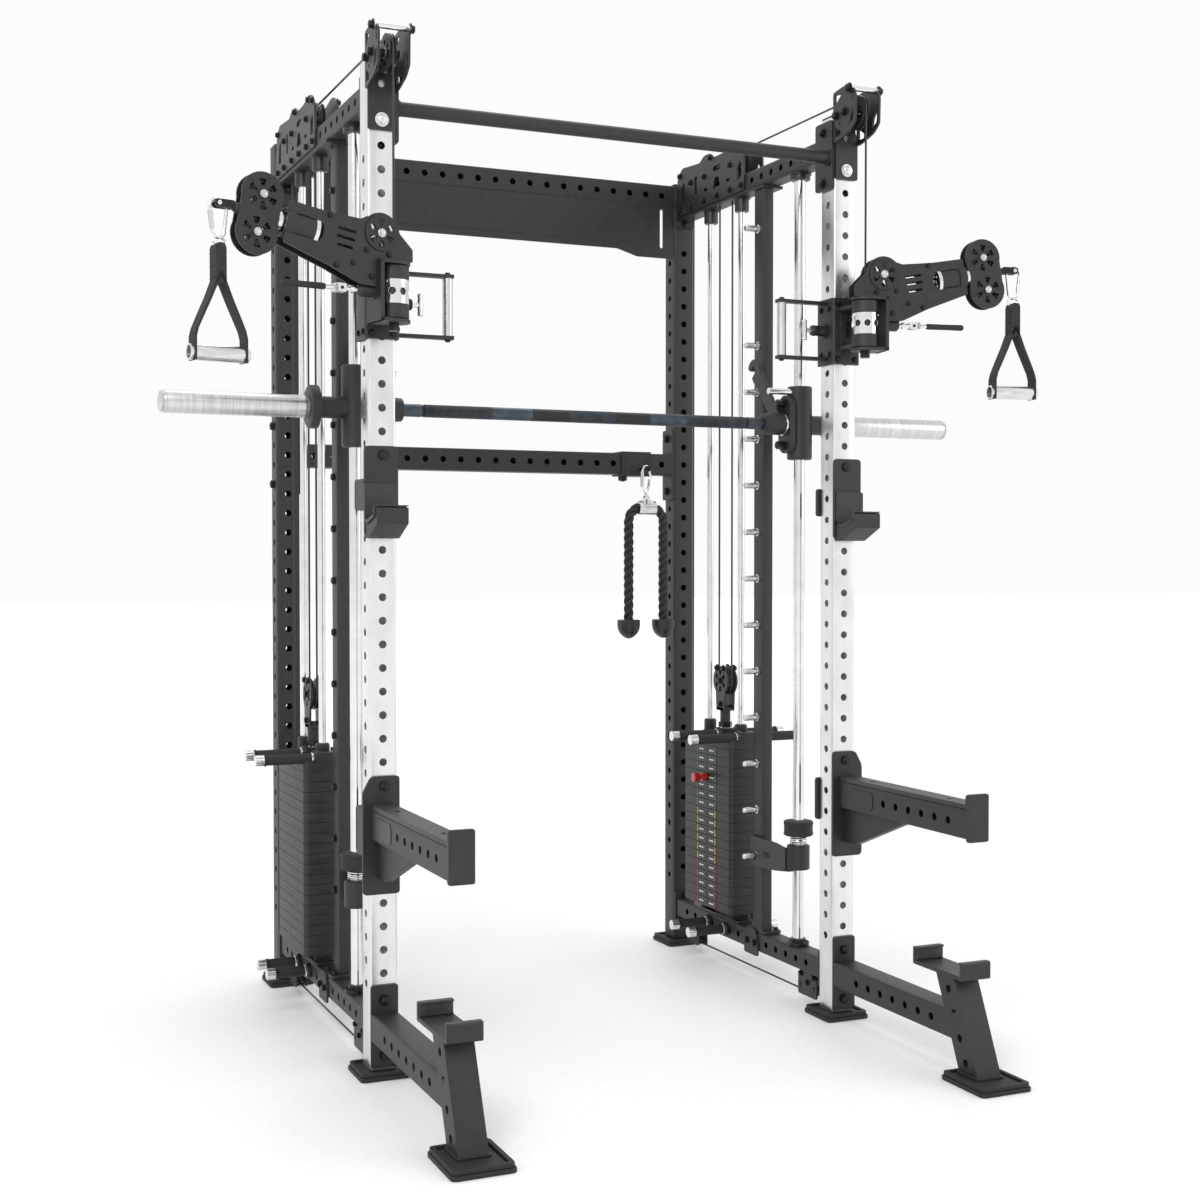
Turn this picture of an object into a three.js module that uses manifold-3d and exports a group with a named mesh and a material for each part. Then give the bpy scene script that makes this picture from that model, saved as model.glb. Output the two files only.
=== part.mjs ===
// Cable crossover rack: four uprights, two weight stacks with swinging cable arms,
// a guided barbell on latch hooks, bar holders, spotter arms and a hanging rope handle.
// Millimetres, +X right, +Y to the rear, +Z up, origin on the floor under the middle.
import * as THREE from 'three';
import * as BufferGeometryUtils from 'three/addons/utils/BufferGeometryUtils.js';
import Module from 'manifold-3d';

const wasm = await Module();
wasm.setup();

// ---- driving dimensions ----
const legReach = 636;               // leg foot front edge to the front face of the front uprights
const span = 1140;                  // upright centre to upright centre, left to right
const uprightPitch = 855;           // front upright face to rear upright face
const frontHeight = 2157;           // top of the front uprights
const rearHeight = 2168;            // top of the rear uprights
const tube = 60;                    // square tube of uprights, crossmembers and legs
const beam = 50;                    // square tube of the base and top beams
const wall = 3;                     // tube wall
const gap = 0.3;                    // assembly gap between touching pieces
const run = 0.8;                    // running gap of sliding and turning pieces
const holeRadius = 8.5;             // pin holes of the uprights
const holePitch = 50;               // pin hole spacing
const topHole = 1972;               // highest pin hole of the front faces
const baseBeamMid = 107;            // base beam centre height
const topBeamMid = 2087;            // top beam centre height
const footThick = 18;
const footWide = 114;
const legFootLong = 150;
const cableRadius = 2.5;
const wheelPath = 38;               // cable centre radius on the large wheels
const lowWheelPath = 28;            // cable centre radius on the floor wheels
const wheelWide = 14;
const upperCable = 2188;            // height of the level cable run on top
const lowCable = 26;                // height of the level cable run near the floor
const stackWide = 114;
const stackLong = 272;
const plateThick = 24.4;
const stackFloor = 159.6;           // underside of the lowest weight plate
const restingPlates = 14;
const pickedPlates = 4;
const headPlateThick = 26;
const guideRadius = 9;
const guideSpacing = 176;
const smithRadius = 14;             // guide rod of the barbell carriage
const smithBack = 210;              // barbell axis behind the front faces
const barHeight = 1438;
const barRadius = 14;
const sleeveReach = 430;            // barbell sleeve end outward of the upright centre
const latchPitch = 120;
const lowestLatch = 333;
const latchCount = 12;
const latchRadius = 8;
const latchLong = 41;
const hookTurn = 20;                // degrees between latched and clear
const wheelClear = 12;              // front face to the cable path at the back of the front wheel
const armRest = 10;                 // degrees the resting arm points forward of sideways
const armRise = 10;                 // degrees the swivel axis rises outward
const drumMid = 1650;               // drum centre height
const drumHeight = 107;
const drumRadius = 31.5;
const bossReach = 38;               // elbow wheel centre from the pivot
const bossHeight = 1765;
const headReach = 297;              // swivel head centre from the pivot
const headHeight = 1777.5;
const headHalf = 38;                // swivel wheels either side of the swivel axis
const hangReach = 377;              // handle pin from the pivot
const hangHeight = 1789;

// ---- places worked out from them ----
const side = span / 2;
const overallDepth = legReach + uprightPitch + tube / 2 + footWide / 2;
const front = legReach - overallDepth / 2;
const rear = front + uprightPitch;
const beamTop = baseBeamMid + beam / 2;
const beamLow = baseBeamMid - beam / 2;
const roof = topBeamMid - beam / 2;
const stackMid = front + 600.5;
const stackSplit = stackFloor + restingPlates * plateThick;
const headPlateLow = stackSplit + pickedPlates * plateThick;
const headPlateTop = headPlateLow + headPlateThick;
const smithY = front + smithBack;
const sleeveEnd = side + sleeveReach;
const latchY = front + 375;
const pivotY = front - 2 * wheelPath - wheelClear;
const wheelHeight = upperCable - wheelPath;
const frontWheelY = pivotY + wheelPath;
const dropY = frontWheelY - wheelPath;
const movingWheelPath = 36;
const frontRunY = stackMid - movingWheelPath;
const rearRunY = stackMid + movingWheelPath;
const wheelAY = frontRunY - wheelPath;
const wheelBY = rearRunY + wheelPath;
const wheelCY = wheelBY + 2 * wheelPath + 5;
const returnRunY = wheelCY + wheelPath;
const movingWheelZ = 773;
const lowWheelZ = lowCable + lowWheelPath;
const lowFrontY = front + 140;
const lowRearY = returnRunY - lowWheelPath;

// ---- materials ----
const finish = (color, roughness, metalness) => new THREE.MeshStandardMaterial({
  color,
  roughness,
  metalness,
});
const blackCoat = finish(0x2b2b2c, 0.6, 0.2);
const zinc = finish(0xd9dbdc, 0.35, 0.85);
const chrome = finish(0xe6e8ea, 0.12, 1);
const darkSteel = finish(0x39444c, 0.45, 0.8);
const plateIron = finish(0x3a3a3b, 0.7, 0.2);
const nylonBlack = finish(0x1c1c1d, 0.55, 0);
const redPlastic = finish(0xa01c20, 0.4, 0);
const ropeBlack = finish(0x18181a, 0.85, 0);
const webbing = finish(0x2a2a2b, 0.85, 0);

// ---- making solids ----
const at = (x, y, z) => new THREE.Vector3(x, y, z);

function solidOf(geometry) {
  const plain = geometry.clone();
  plain.deleteAttribute('normal');
  plain.deleteAttribute('uv');
  const joined = BufferGeometryUtils.mergeVertices(plain, 1e-4);
  const vertProperties = new Float32Array(joined.getAttribute('position').array);
  const triVerts = new Uint32Array(joined.index.array);
  return new wasm.Manifold(new wasm.Mesh({ numProp: 3, vertProperties, triVerts }));
}

function block(x, y, z) {
  const geometry = new THREE.BoxGeometry(x[1] - x[0], y[1] - y[0], z[1] - z[0]);
  geometry.translate((x[0] + x[1]) / 2, (y[0] + y[1]) / 2, (z[0] + z[1]) / 2);
  return solidOf(geometry);
}

function rod(from, to, radius, sides = 10) {
  const along = new THREE.Vector3().subVectors(to, from);
  const geometry = new THREE.CylinderGeometry(radius, radius, along.length(), sides);
  const turn = new THREE.Quaternion().setFromUnitVectors(at(0, 1, 0), along.clone().normalize());
  geometry.applyQuaternion(turn);
  geometry.translate((from.x + to.x) / 2, (from.y + to.y) / 2, (from.z + to.z) / 2);
  return solidOf(geometry);
}

function join(...solids) {
  return solids.reduce((whole, next) => whole.add(next));
}

function cut(whole, ...tools) {
  return tools.reduce((left, tool) => left.subtract(tool), whole);
}

function squareTube(x, y, z, open) {
  const hollow = {
    x: [x[0] + wall, x[1] - wall],
    y: [y[0] + wall, y[1] - wall],
    z: [z[0] + wall, z[1] - wall],
  };
  const past = 2 * wall;
  const outer = { x, y, z };
  hollow[open] = [outer[open][0] - past, outer[open][1] + past];
  return cut(block(x, y, z), block(hollow.x, hollow.y, hollow.z));
}

// A plate whose outline lies in the depth-height plane, from x0 to x1.
const sidePlane = new THREE.Matrix4().makeBasis(at(0, 1, 0), at(0, 0, 1), at(1, 0, 0));
function sidePlate(outline, x0, x1) {
  const geometry = new THREE.ExtrudeGeometry(
    outline,
    { depth: x1 - x0, bevelEnabled: false, curveSegments: 3 },
  );
  geometry.translate(0, 0, x0);
  geometry.applyMatrix4(sidePlane);
  return solidOf(geometry);
}

// A plate whose outline lies in the width-height plane, from y0 to y1.
const facePlane = new THREE.Matrix4().makeBasis(at(1, 0, 0), at(0, 0, 1), at(0, -1, 0));
function facePlate(outline, y0, y1) {
  const geometry = new THREE.ExtrudeGeometry(
    outline,
    { depth: y1 - y0, bevelEnabled: false, curveSegments: 3 },
  );
  geometry.translate(0, 0, -y1);
  geometry.applyMatrix4(facePlane);
  return solidOf(geometry);
}

function polygon(...corners) {
  return new THREE.Shape(corners.map(([a, b]) => new THREE.Vector2(a, b)));
}

// A grooved wheel on an axle along X; path is the radius of the cable's centre.
function wheel(centre, path, width = wheelWide, sides = 12) {
  const rim = path + 2;
  const half = width / 2;
  const profile = [
    new THREE.Vector2(0, -half),
    new THREE.Vector2(rim, -half),
    new THREE.Vector2(path - 2 * cableRadius, 0),
    new THREE.Vector2(rim, half),
    new THREE.Vector2(0, half),
  ];
  const geometry = new THREE.LatheGeometry(profile, sides);
  geometry.rotateZ(-Math.PI / 2);
  geometry.translate(centre.x, centre.y, centre.z);
  return solidOf(geometry);
}

function arcPoints(centreY, centreZ, radius, fromDegrees, toDegrees, steps) {
  return Array.from({ length: steps + 1 }, (_, i) => {
    const angle = THREE.MathUtils.degToRad(fromDegrees + ((toDegrees - fromDegrees) * i) / steps);
    return at(side, centreY + radius * Math.cos(angle), centreZ + radius * Math.sin(angle));
  });
}

// A round cord through a list of points that lie in one plane.
class CordRoute extends THREE.Curve {
  constructor(points) {
    super();
    this.points = points;
  }
  nearest(u) {
    return Math.round(u * (this.points.length - 1));
  }
  getPointAt(u) {
    return this.points[this.nearest(u)].clone();
  }
  getTangentAt(u) {
    const i = this.nearest(u);
    const before = this.points[Math.max(i - 1, 0)];
    const here = this.points[i];
    const after = this.points[Math.min(i + 1, this.points.length - 1)];
    const arriving = here.clone().sub(before).normalize();
    const leaving = after.clone().sub(here).normalize();
    return arriving.add(leaving).normalize();
  }
}

function cableAlong(points, radius = cableRadius, sides = 6) {
  const section = polygon(...Array.from({ length: sides }, (_, i) => {
    const angle = (2 * Math.PI * i) / sides;
    return [radius * Math.cos(angle), radius * Math.sin(angle)];
  }));
  const options = { steps: points.length - 1, bevelEnabled: false, extrudePath: new CordRoute(points) };
  return solidOf(new THREE.ExtrudeGeometry(section, options));
}

// ---- the scene ----
const group = new THREE.Group();

function geometryOf(solid, flip = false) {
  const mesh = solid.getMesh();
  const positions = new Float32Array(mesh.numVert * 3);
  for (let v = 0; v < mesh.numVert; v += 1) {
    positions[3 * v] = (flip ? -1 : 1) * mesh.vertProperties[mesh.numProp * v];
    positions[3 * v + 1] = mesh.vertProperties[mesh.numProp * v + 1];
    positions[3 * v + 2] = mesh.vertProperties[mesh.numProp * v + 2];
  }
  const order = Array.from(mesh.triVerts);
  if (flip) {
    for (let t = 0; t < order.length; t += 3) [order[t + 1], order[t + 2]] = [order[t + 2], order[t + 1]];
  }
  const geometry = new THREE.BufferGeometry();
  geometry.setAttribute('position', new THREE.BufferAttribute(positions, 3));
  geometry.setIndex(order);
  geometry.computeVertexNormals();
  return geometry;
}

function add(name, solid, material, flip = false) {
  const mesh = new THREE.Mesh(geometryOf(solid, flip), material);
  mesh.name = name;
  group.add(mesh);
}

// The right-hand piece and its mirror image.
function addPair(name, solid, material) {
  add(`${name}_r`, solid, material);
  add(`${name}_l`, solid, material, true);
}

// ---- uprights ----
const holderHole = topHole - 13 * holePitch;
const spotterHole = topHole - 27 * holePitch;
const plungerHole = topHole - holePitch / 2 - 6 * holePitch;

function foot(midX, midY, wide, long) {
  const outline = new THREE.Shape();
  const x = wide / 2;
  const y = long / 2;
  const corner = 10;
  outline.moveTo(-x + corner, -y);
  outline.lineTo(x - corner, -y);
  outline.absarc(x - corner, -y + corner, corner, -Math.PI / 2, 0);
  outline.lineTo(x, y - corner);
  outline.absarc(x - corner, y - corner, corner, 0, Math.PI / 2);
  outline.lineTo(-x + corner, y);
  outline.absarc(-x + corner, y - corner, corner, Math.PI / 2, Math.PI);
  outline.lineTo(-x, -y + corner);
  outline.absarc(-x + corner, -y + corner, corner, Math.PI, 1.5 * Math.PI);
  const geometry = new THREE.ExtrudeGeometry(
    outline,
    { depth: footThick, bevelEnabled: false, curveSegments: 3 },
  );
  geometry.translate(midX, midY, 0);
  return solidOf(geometry);
}

function upright(faceY, height, frontHoles, sideHoles) {
  const x = [side - tube / 2, side + tube / 2];
  const y = [faceY, faceY + tube];
  const post = squareTube(x, y, [footThick - 4, height], 'z');
  const frontPins = frontHoles.map((z) => rod(
    at(side, faceY - 5, z),
    at(side, faceY + tube / 2, z),
    holeRadius,
    8,
  ));
  const sidePins = sideHoles.map((z) => rod(
    at(x[0] - 5, faceY + tube / 2, z),
    at(side, faceY + tube / 2, z),
    holeRadius,
    8,
  ));
  const pinned = cut(post, ...frontPins, ...sidePins);
  return join(pinned, foot(side, faceY + tube / 2, footWide, footWide));
}

addPair('front_upright', upright(front, frontHeight, [holderHole, spotterHole], [plungerHole]), zinc);
addPair('rear_upright', upright(rear, rearHeight, [], []), blackCoat);

// ---- base beam with its two floor wheels and the lower band pegs ----
const beamSpan = [front + tube + gap, rear - gap];
const beamX = [side - beam / 2, side + beam / 2];
const pegRadius = 12.5;
const lowPegYs = [stackMid - 52.5, stackMid + 47.5];
const lowPegInner = 140;
const lowPegOuter = 130;
const topPegYs = [stackMid - 122.5, stackMid - 12.5];
const topPegReach = 170;
const topPegStart = 22;
const topPegRise = 5;

function bandPeg(y, z, from, to) {
  const cap = 12;
  const outward = Math.sign(to - from);
  return join(
    rod(at(from, y, z), at(to - outward * cap, y, z), pegRadius),
    rod(at(to - outward * cap, y, z), at(to, y, z), pegRadius + 2),
  );
}

function wheelCheeks(midY, halfLong, low, high, axleZ, path) {
  const cheek = 4;
  const inner = wheelWide / 2 + 4;
  const y = [midY - halfLong, midY + halfLong];
  const plates = [-1, 1].map((way) => {
    const x = [side + way * inner, side + way * (inner + cheek)].sort((a, b) => a - b);
    return block(x, y, [low, high]);
  });
  const axle = rod(at(side - inner - cheek, midY, axleZ), at(side + inner + cheek, midY, axleZ), 6, 8);
  return join(...plates, axle, wheel(at(side, midY, axleZ), path));
}

const cableHole = (y, z0, z1) => rod(at(side, y, z0), at(side, y, z1), cableRadius + 5, 8);
const cheekHalf = 44;
let baseBeam = squareTube(beamX, beamSpan, [beamLow, beamTop], 'y');
baseBeam = cut(baseBeam, cableHole(returnRunY, beamLow - 5, beamTop + 5));
baseBeam = join(
  baseBeam,
  wheelCheeks(lowFrontY, cheekHalf, footThick + 2, beamLow + 2, lowWheelZ, lowWheelPath),
);
baseBeam = join(
  baseBeam,
  wheelCheeks(lowRearY, lowWheelPath + 6, footThick + 2, beamLow + 2, lowWheelZ, lowWheelPath),
);
baseBeam = cut(baseBeam, cableHole(returnRunY, lowWheelZ, beamTop + 5));
lowPegYs.forEach((y) => {
  baseBeam = join(baseBeam, bandPeg(y, baseBeamMid, side, side - lowPegInner));
  baseBeam = join(baseBeam, bandPeg(y, baseBeamMid, side, side + lowPegOuter));
});
addPair('base_beam', baseBeam, blackCoat);

// ---- top beam with its pulley bracket, rod sockets and three wheels ----
const bracketPlate = 5;
const socketDeep = 37;
const guideYs = [stackMid - guideSpacing / 2, stackMid + guideSpacing / 2];
const bracketOutline = polygon(
  [wheelAY - 80, roof + 8],
  [wheelAY + 380 - 70, roof + 8],
  [wheelAY + 310, upperCable - 12],
  [wheelCY + 10, upperCable + 12],
  [wheelAY + 110, upperCable + 14],
  [wheelAY - 22, upperCable + 12],
  [wheelAY - 66, upperCable - 24],
);

function rodSocket(y, radius, outer, deep) {
  const mouth = rod(at(side, y, roof - deep), at(side, y, roof + wall / 2), outer, 12);
  return { body: mouth, bore: rod(at(side, y, roof - deep - 5), at(side, y, roof - 5), radius + 0.4, 12) };
}

let topBeam = squareTube(beamX, beamSpan, [roof, roof + beam], 'y');
const sockets = [
  ...guideYs.map((y) => rodSocket(y, guideRadius, 19, socketDeep)),
  rodSocket(smithY, smithRadius, 25, 17),
];
sockets.forEach((socket) => {
  topBeam = cut(join(topBeam, socket.body), socket.bore);
});
topBeam = join(topBeam, sidePlate(bracketOutline, beamX[0] - bracketPlate, beamX[0]));
topBeam = join(topBeam, sidePlate(bracketOutline, beamX[1], beamX[1] + bracketPlate));
[frontRunY, rearRunY, returnRunY].forEach((y) => {
  topBeam = cut(topBeam, cableHole(y, roof - 5, roof + beam + 5));
});
[wheelAY, wheelBY, wheelCY].forEach((y) => {
  const axle = rod(at(beamX[0] - 2, y, wheelHeight), at(beamX[1] + 2, y, wheelHeight), 6, 8);
  topBeam = join(topBeam, axle, wheel(at(side, y, wheelHeight), wheelPath));
});
[frontRunY, rearRunY, returnRunY].forEach((y) => {
  topBeam = cut(topBeam, rod(at(side, y, roof - 5), at(side, y, wheelHeight), cableRadius + gap, 8));
});
addPair('top_beam', topBeam, blackCoat);

// ---- latch column ----
const columnX = [beamX[0], beamX[0] + 30];
const columnY = [latchY - 25, latchY + 25];
const latchHeights = Array.from({ length: latchCount }, (_, i) => lowestLatch + i * latchPitch);
const parkedLatch = latchHeights[latchCount - 1] + 2.5 * latchPitch;
let column = squareTube(columnX, columnY, [beamTop + gap + 4, roof - gap], 'z');
column = join(
  column,
  block(
    [columnX[0], columnX[1] + 20],
    [columnY[0] - 14, columnY[1] + 14],
    [beamTop + gap, beamTop + gap + 8],
  ),
);
[...latchHeights, parkedLatch].forEach((z) => {
  column = join(
    column,
    rod(at(columnX[0] + wall / 2, latchY, z), at(columnX[0] - latchLong, latchY, z), latchRadius, 8),
  );
});
addPair('latch_column', column, blackCoat);

// ---- crossmembers ----
const reach = side - tube / 2 - gap;
const crossLow = 2101;
const nameLow = 1973;
const hipLow = 1955;
const slotX = 500;
const namePlate = polygon(
  [-reach, hipLow],
  [-425, hipLow],
  [-364, nameLow],
  [364, nameLow],
  [425, hipLow],
  [reach, hipLow],
  [reach, crossLow + 4],
  [-reach, crossLow + 4],
);
let rearTop = squareTube([-reach, reach], [rear, rear + tube], [crossLow, crossLow + tube], 'x');
const slots = [-slotX, slotX].map((x) => block(
  [x - 4, x + 4],
  [rear - 5, rear + 15],
  [hipLow + 28, crossLow],
));
rearTop = join(rearTop, cut(facePlate(namePlate, rear + 2, rear + 8), ...slots));
add('rear_top_crossmember', rearTop, blackCoat);

const midLow = 1341.5;
const flange = 7.5;
let rearMid = squareTube([-reach, reach], [rear, rear + tube], [midLow, midLow + tube], 'x');
[-1, 1].forEach((way) => {
  const x = [way * (reach - flange), way * reach].sort((a, b) => a - b);
  const plate = block(x, [rear, rear + tube], [midLow - 70, midLow + tube + 70]);
  const bore = block(
    [x[0] - 5, x[1] + 5],
    [rear + wall, rear + tube - wall],
    [midLow + wall, midLow + tube - wall],
  );
  rearMid = join(rearMid, cut(plate, bore));
});
const ropeX = 434;
const ropeBand = [374, 464];
const bandThick = 4;
const ropePeg = midLow + 14;
const bandHole = block(
  [ropeBand[0] - 5, ropeBand[1] + 5],
  [rear + wall, rear + tube - wall],
  [midLow + wall, midLow + tube - wall],
);
const bandY = [rear - bandThick, rear + tube + bandThick];
const bandZ = [midLow - bandThick, midLow + tube + bandThick];
rearMid = join(rearMid, cut(block(ropeBand, bandY, bandZ), bandHole));
rearMid = join(rearMid, rod(at(ropeX, rear - 2, ropePeg), at(ropeX, rear - 46, ropePeg), 5, 8));
rearMid = join(rearMid, rod(at(ropeX, rear - 46, ropePeg), at(ropeX, rear - 50, ropePeg), 8, 8));
add('rear_mid_crossmember', rearMid, blackCoat);

// ---- pull-up bar ----
const pullUpHeight = 2057;
const pullUpRadius = 15.5;
const pullUpPlate = [pullUpHeight - 75, pullUpHeight + 86];
const pullUpFlange = 7.5;
const pullUpY = front + 18;
const pullUpEnd = reach - 2;
let pullUp = rod(
  at(-pullUpEnd, pullUpY, pullUpHeight),
  at(pullUpEnd, pullUpY, pullUpHeight),
  pullUpRadius,
  12,
);
[-1, 1].forEach((way) => {
  const x = [way * (reach - pullUpFlange), way * reach].sort((a, b) => a - b);
  pullUp = join(pullUp, block(x, [front, front + 74], pullUpPlate));
});
add('pull_up_bar', pullUp, blackCoat);

// ---- front leg: tube, leaning post, cradle, foot and the bracket on the upright ----
const legLow = 79;
const lean = 23.5;
const postTop = 216;
const slope = Math.tan(THREE.MathUtils.degToRad(lean));
const postDeep = tube / Math.cos(THREE.MathUtils.degToRad(lean));
const postFrontFoot = front - legReach + 62;
const legX = [side - tube / 2, side + tube / 2];
const postSide = polygon(
  [postFrontFoot, footThick - 2],
  [postFrontFoot + postDeep, footThick - 2],
  [postFrontFoot + postDeep + slope * (postTop - footThick + 2), postTop],
  [postFrontFoot + slope * (postTop - footThick + 2), postTop],
);
const cradleBack = 19;
const cradleMid = postFrontFoot + postDeep / 2 + slope * (postTop - footThick) + cradleBack;
const cradleHalf = 91;
const cradleOver = 6;
const cradleThick = 8;
const lipHigh = 26;
const legBack = front - gap;
const legBracket = 6;
const legBracketTop = 198;
let leg = squareTube(legX, [postFrontFoot + postDeep, legBack - legBracket], [legLow, legLow + tube], 'y');
const legBore = block(
  [legX[0] + wall, legX[1] - wall],
  [legBack - 20, front],
  [legLow + wall, legLow + tube - wall],
);
leg = join(
  leg,
  cut(block(legX, [legBack - legBracket, legBack], [footThick + 4, legBracketTop]), legBore),
);
leg = join(leg, sidePlate(postSide, legX[0], legX[1]));
leg = join(
  leg,
  block(
    [legX[0] - cradleOver, legX[1] + cradleOver],
    [cradleMid - cradleHalf, cradleMid + cradleHalf],
    [postTop - 2, postTop + cradleThick],
  ),
);
[-1, 1].forEach((way) => {
  const y = [cradleMid + way * (cradleHalf - 12), cradleMid + way * cradleHalf].sort((a, b) => a - b);
  const lipZ = [postTop, postTop + cradleThick + lipHigh];
  leg = join(leg, block([legX[0] - cradleOver, legX[1] + cradleOver], y, lipZ));
});
leg = join(leg, foot(side, front - legReach + legFootLong / 2, footWide + 12, legFootLong));
addPair('front_leg', leg, blackCoat);

// ---- guide rods of the stack, on one foot with two rubber rings ----
const guideFoot = beamTop + gap;
let guides = block([beamX[0], beamX[1]], [guideYs[0] - 26, guideYs[1] + 26], [guideFoot, guideFoot + 6]);
guideYs.forEach((y) => {
  guides = join(guides, rod(at(side, y, guideFoot), at(side, y, stackFloor - gap), 24, 12));
  guides = join(guides, rod(at(side, y, guideFoot), at(side, y, roof - 7), guideRadius));
});
addPair('guide_rods', guides, chrome);

// ---- weight stack ----
const stackX = [side - stackWide / 2, side + stackWide / 2];
const stackY = [stackMid - stackLong / 2, stackMid + stackLong / 2];
const stemRadius = 13;
const rodWays = (z0, z1) => guideYs.map((y) => rod(at(side, y, z0), at(side, y, z1), guideRadius + run));
let resting = block(stackX, stackY, [stackFloor, stackSplit - gap]);
resting = cut(
  resting,
  ...rodWays(0, 900),
  rod(at(side, stackMid, 0), at(side, stackMid, 900), stemRadius + run),
);
addPair('weight_stack', resting, plateIron);

const pinHeight = headPlateLow - 3.5 * plateThick;
const pinRadius = 5;
const pinTip = side + 8;
const yokeHalf = 30;
const yokeLow = 692;
let lifted = block(stackX, stackY, [stackSplit, headPlateTop]);
lifted = join(lifted, rod(at(side, stackMid, stackFloor + 12), at(side, stackMid, headPlateTop), stemRadius));
guideYs.forEach((y) => {
  lifted = join(lifted, rod(at(side, y, headPlateTop - 2), at(side, y, headPlateTop + 37), 12));
});
lifted = cut(lifted, ...rodWays(0, 900));
topPegYs.forEach((y) => {
  [-1, 1].forEach((way) => {
    const from = side + way * topPegStart;
    lifted = join(lifted, bandPeg(y, headPlateTop + topPegRise, from, side + way * topPegReach));
  });
});
lifted = cut(
  lifted,
  rod(at(0, stackMid, pinHeight), at(pinTip + 1, stackMid, pinHeight), pinRadius + 0.6, 8),
);
lifted = join(lifted, rod(at(side, stackMid, headPlateTop - 1), at(side, stackMid, yokeLow + 4), 14));
lifted = join(lifted, block([side - 16, side + 16], [stackMid - 20, stackMid + 20], [yokeLow, yokeLow + 20]));
[-1, 1].forEach((way) => {
  const x = [side + way * 11, side + way * 16].sort((a, b) => a - b);
  const cheek = polygon(
    [stackMid - yokeHalf + 8, yokeLow],
    [stackMid + yokeHalf - 8, yokeLow],
    [stackMid + yokeHalf, movingWheelZ - 20],
    [stackMid + yokeHalf, movingWheelZ + 26],
    [stackMid + yokeHalf - 16, movingWheelZ + 42],
    [stackMid - yokeHalf + 16, movingWheelZ + 42],
    [stackMid - yokeHalf, movingWheelZ + 26],
    [stackMid - yokeHalf, movingWheelZ - 20],
  );
  lifted = join(lifted, sidePlate(cheek, x[0], x[1]));
});
const axleRadius = 6;
lifted = join(
  lifted,
  rod(at(side - 14, stackMid, movingWheelZ), at(side + 14, stackMid, movingWheelZ), axleRadius, 8),
);
addPair('lifted_stack', lifted, plateIron);

const movingWheel = cut(
  wheel(at(side, stackMid, movingWheelZ), movingWheelPath),
  rod(at(side - 20, stackMid, movingWheelZ), at(side + 20, stackMid, movingWheelZ), axleRadius + run, 12),
);
addPair('stack_pulley_wheel', movingWheel, nylonBlack);

const knobX = stackX[0] - 2;
const selector = join(
  rod(at(knobX, stackMid, pinHeight), at(knobX - 14, stackMid, pinHeight), 11),
  rod(at(knobX - 10, stackMid, pinHeight), at(knobX - 30, stackMid, pinHeight), 7),
  rod(at(knobX - 26, stackMid, pinHeight), at(knobX - 40, stackMid, pinHeight), 13),
  rod(at(knobX - 4, stackMid, pinHeight), at(pinTip, stackMid, pinHeight), pinRadius, 8),
);
addPair('selector_pin', selector, redPlastic);

// ---- cables of each side ----
const topRoute = [
  at(side, dropY, wheelHeight + gap),
  ...arcPoints(frontWheelY, wheelHeight, wheelPath, 180, 90, 4).slice(1),
  ...arcPoints(wheelAY, wheelHeight, wheelPath, 90, 0, 4).slice(0, -1),
  at(side, frontRunY, wheelHeight + gap),
];
addPair('top_cable', cableAlong(topRoute), darkSteel);

const loopRoute = [
  at(side, frontRunY, wheelHeight - gap),
  ...arcPoints(stackMid, movingWheelZ, movingWheelPath, 180, 360, 8),
  at(side, rearRunY, wheelHeight - gap),
];
addPair('stack_cable', cableAlong(loopRoute), darkSteel);

const lowRoute = [
  at(side, rearRunY, wheelHeight + gap),
  ...arcPoints(wheelBY, wheelHeight, wheelPath, 180, 90, 4).slice(1),
  ...arcPoints(wheelCY, wheelHeight, wheelPath, 90, 0, 4),
  ...arcPoints(lowRearY, lowWheelZ, lowWheelPath, 0, -90, 4),
  ...arcPoints(lowFrontY, lowWheelZ, lowWheelPath, 270, 180, 4),
];
addPair('low_cable', cableAlong(lowRoute), darkSteel);

const armDrop = [at(side, dropY, wheelHeight - gap), at(side, dropY, bossHeight + 6)];
addPair('arm_cable', cableAlong(armDrop), darkSteel);

// ---- pulley head on the front upright ----
const headX = [side - tube / 2, side + tube / 2];
const headPlate = 5;
const headBack = 6;
const headFoot = 2003;
const headTop = wheelHeight + wheelPath + 24;
const headNose = frontWheelY - wheelPath - 8;
const headPinY = frontWheelY - 28;
const headPinZ = headTop - 13;
const headSide = polygon(
  [front - gap, headFoot],
  [front - gap, headTop - 7],
  [frontWheelY, headTop],
  [headNose, headTop - 16],
  [headNose, wheelHeight - 31],
  [front - 8, wheelHeight - 58],
  [front - 8, headFoot],
);
let head = block(headX, [front - gap - headBack, front - gap], [headFoot, 2140]);
head = join(
  head,
  sidePlate(headSide, headX[0], headX[0] + headPlate),
  sidePlate(headSide, headX[1] - headPlate, headX[1]),
);
head = join(
  head,
  rod(at(headX[0] + 1, frontWheelY, wheelHeight), at(headX[1] - 1, frontWheelY, wheelHeight), 7, 8),
);
head = join(head, wheel(at(side, frontWheelY, wheelHeight), wheelPath));
head = join(head, rod(at(headX[0] - 10, headPinY, headPinZ), at(headX[1] + 10, headPinY, headPinZ), 6.5, 8));
addPair('pulley_head', head, blackCoat);

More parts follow.
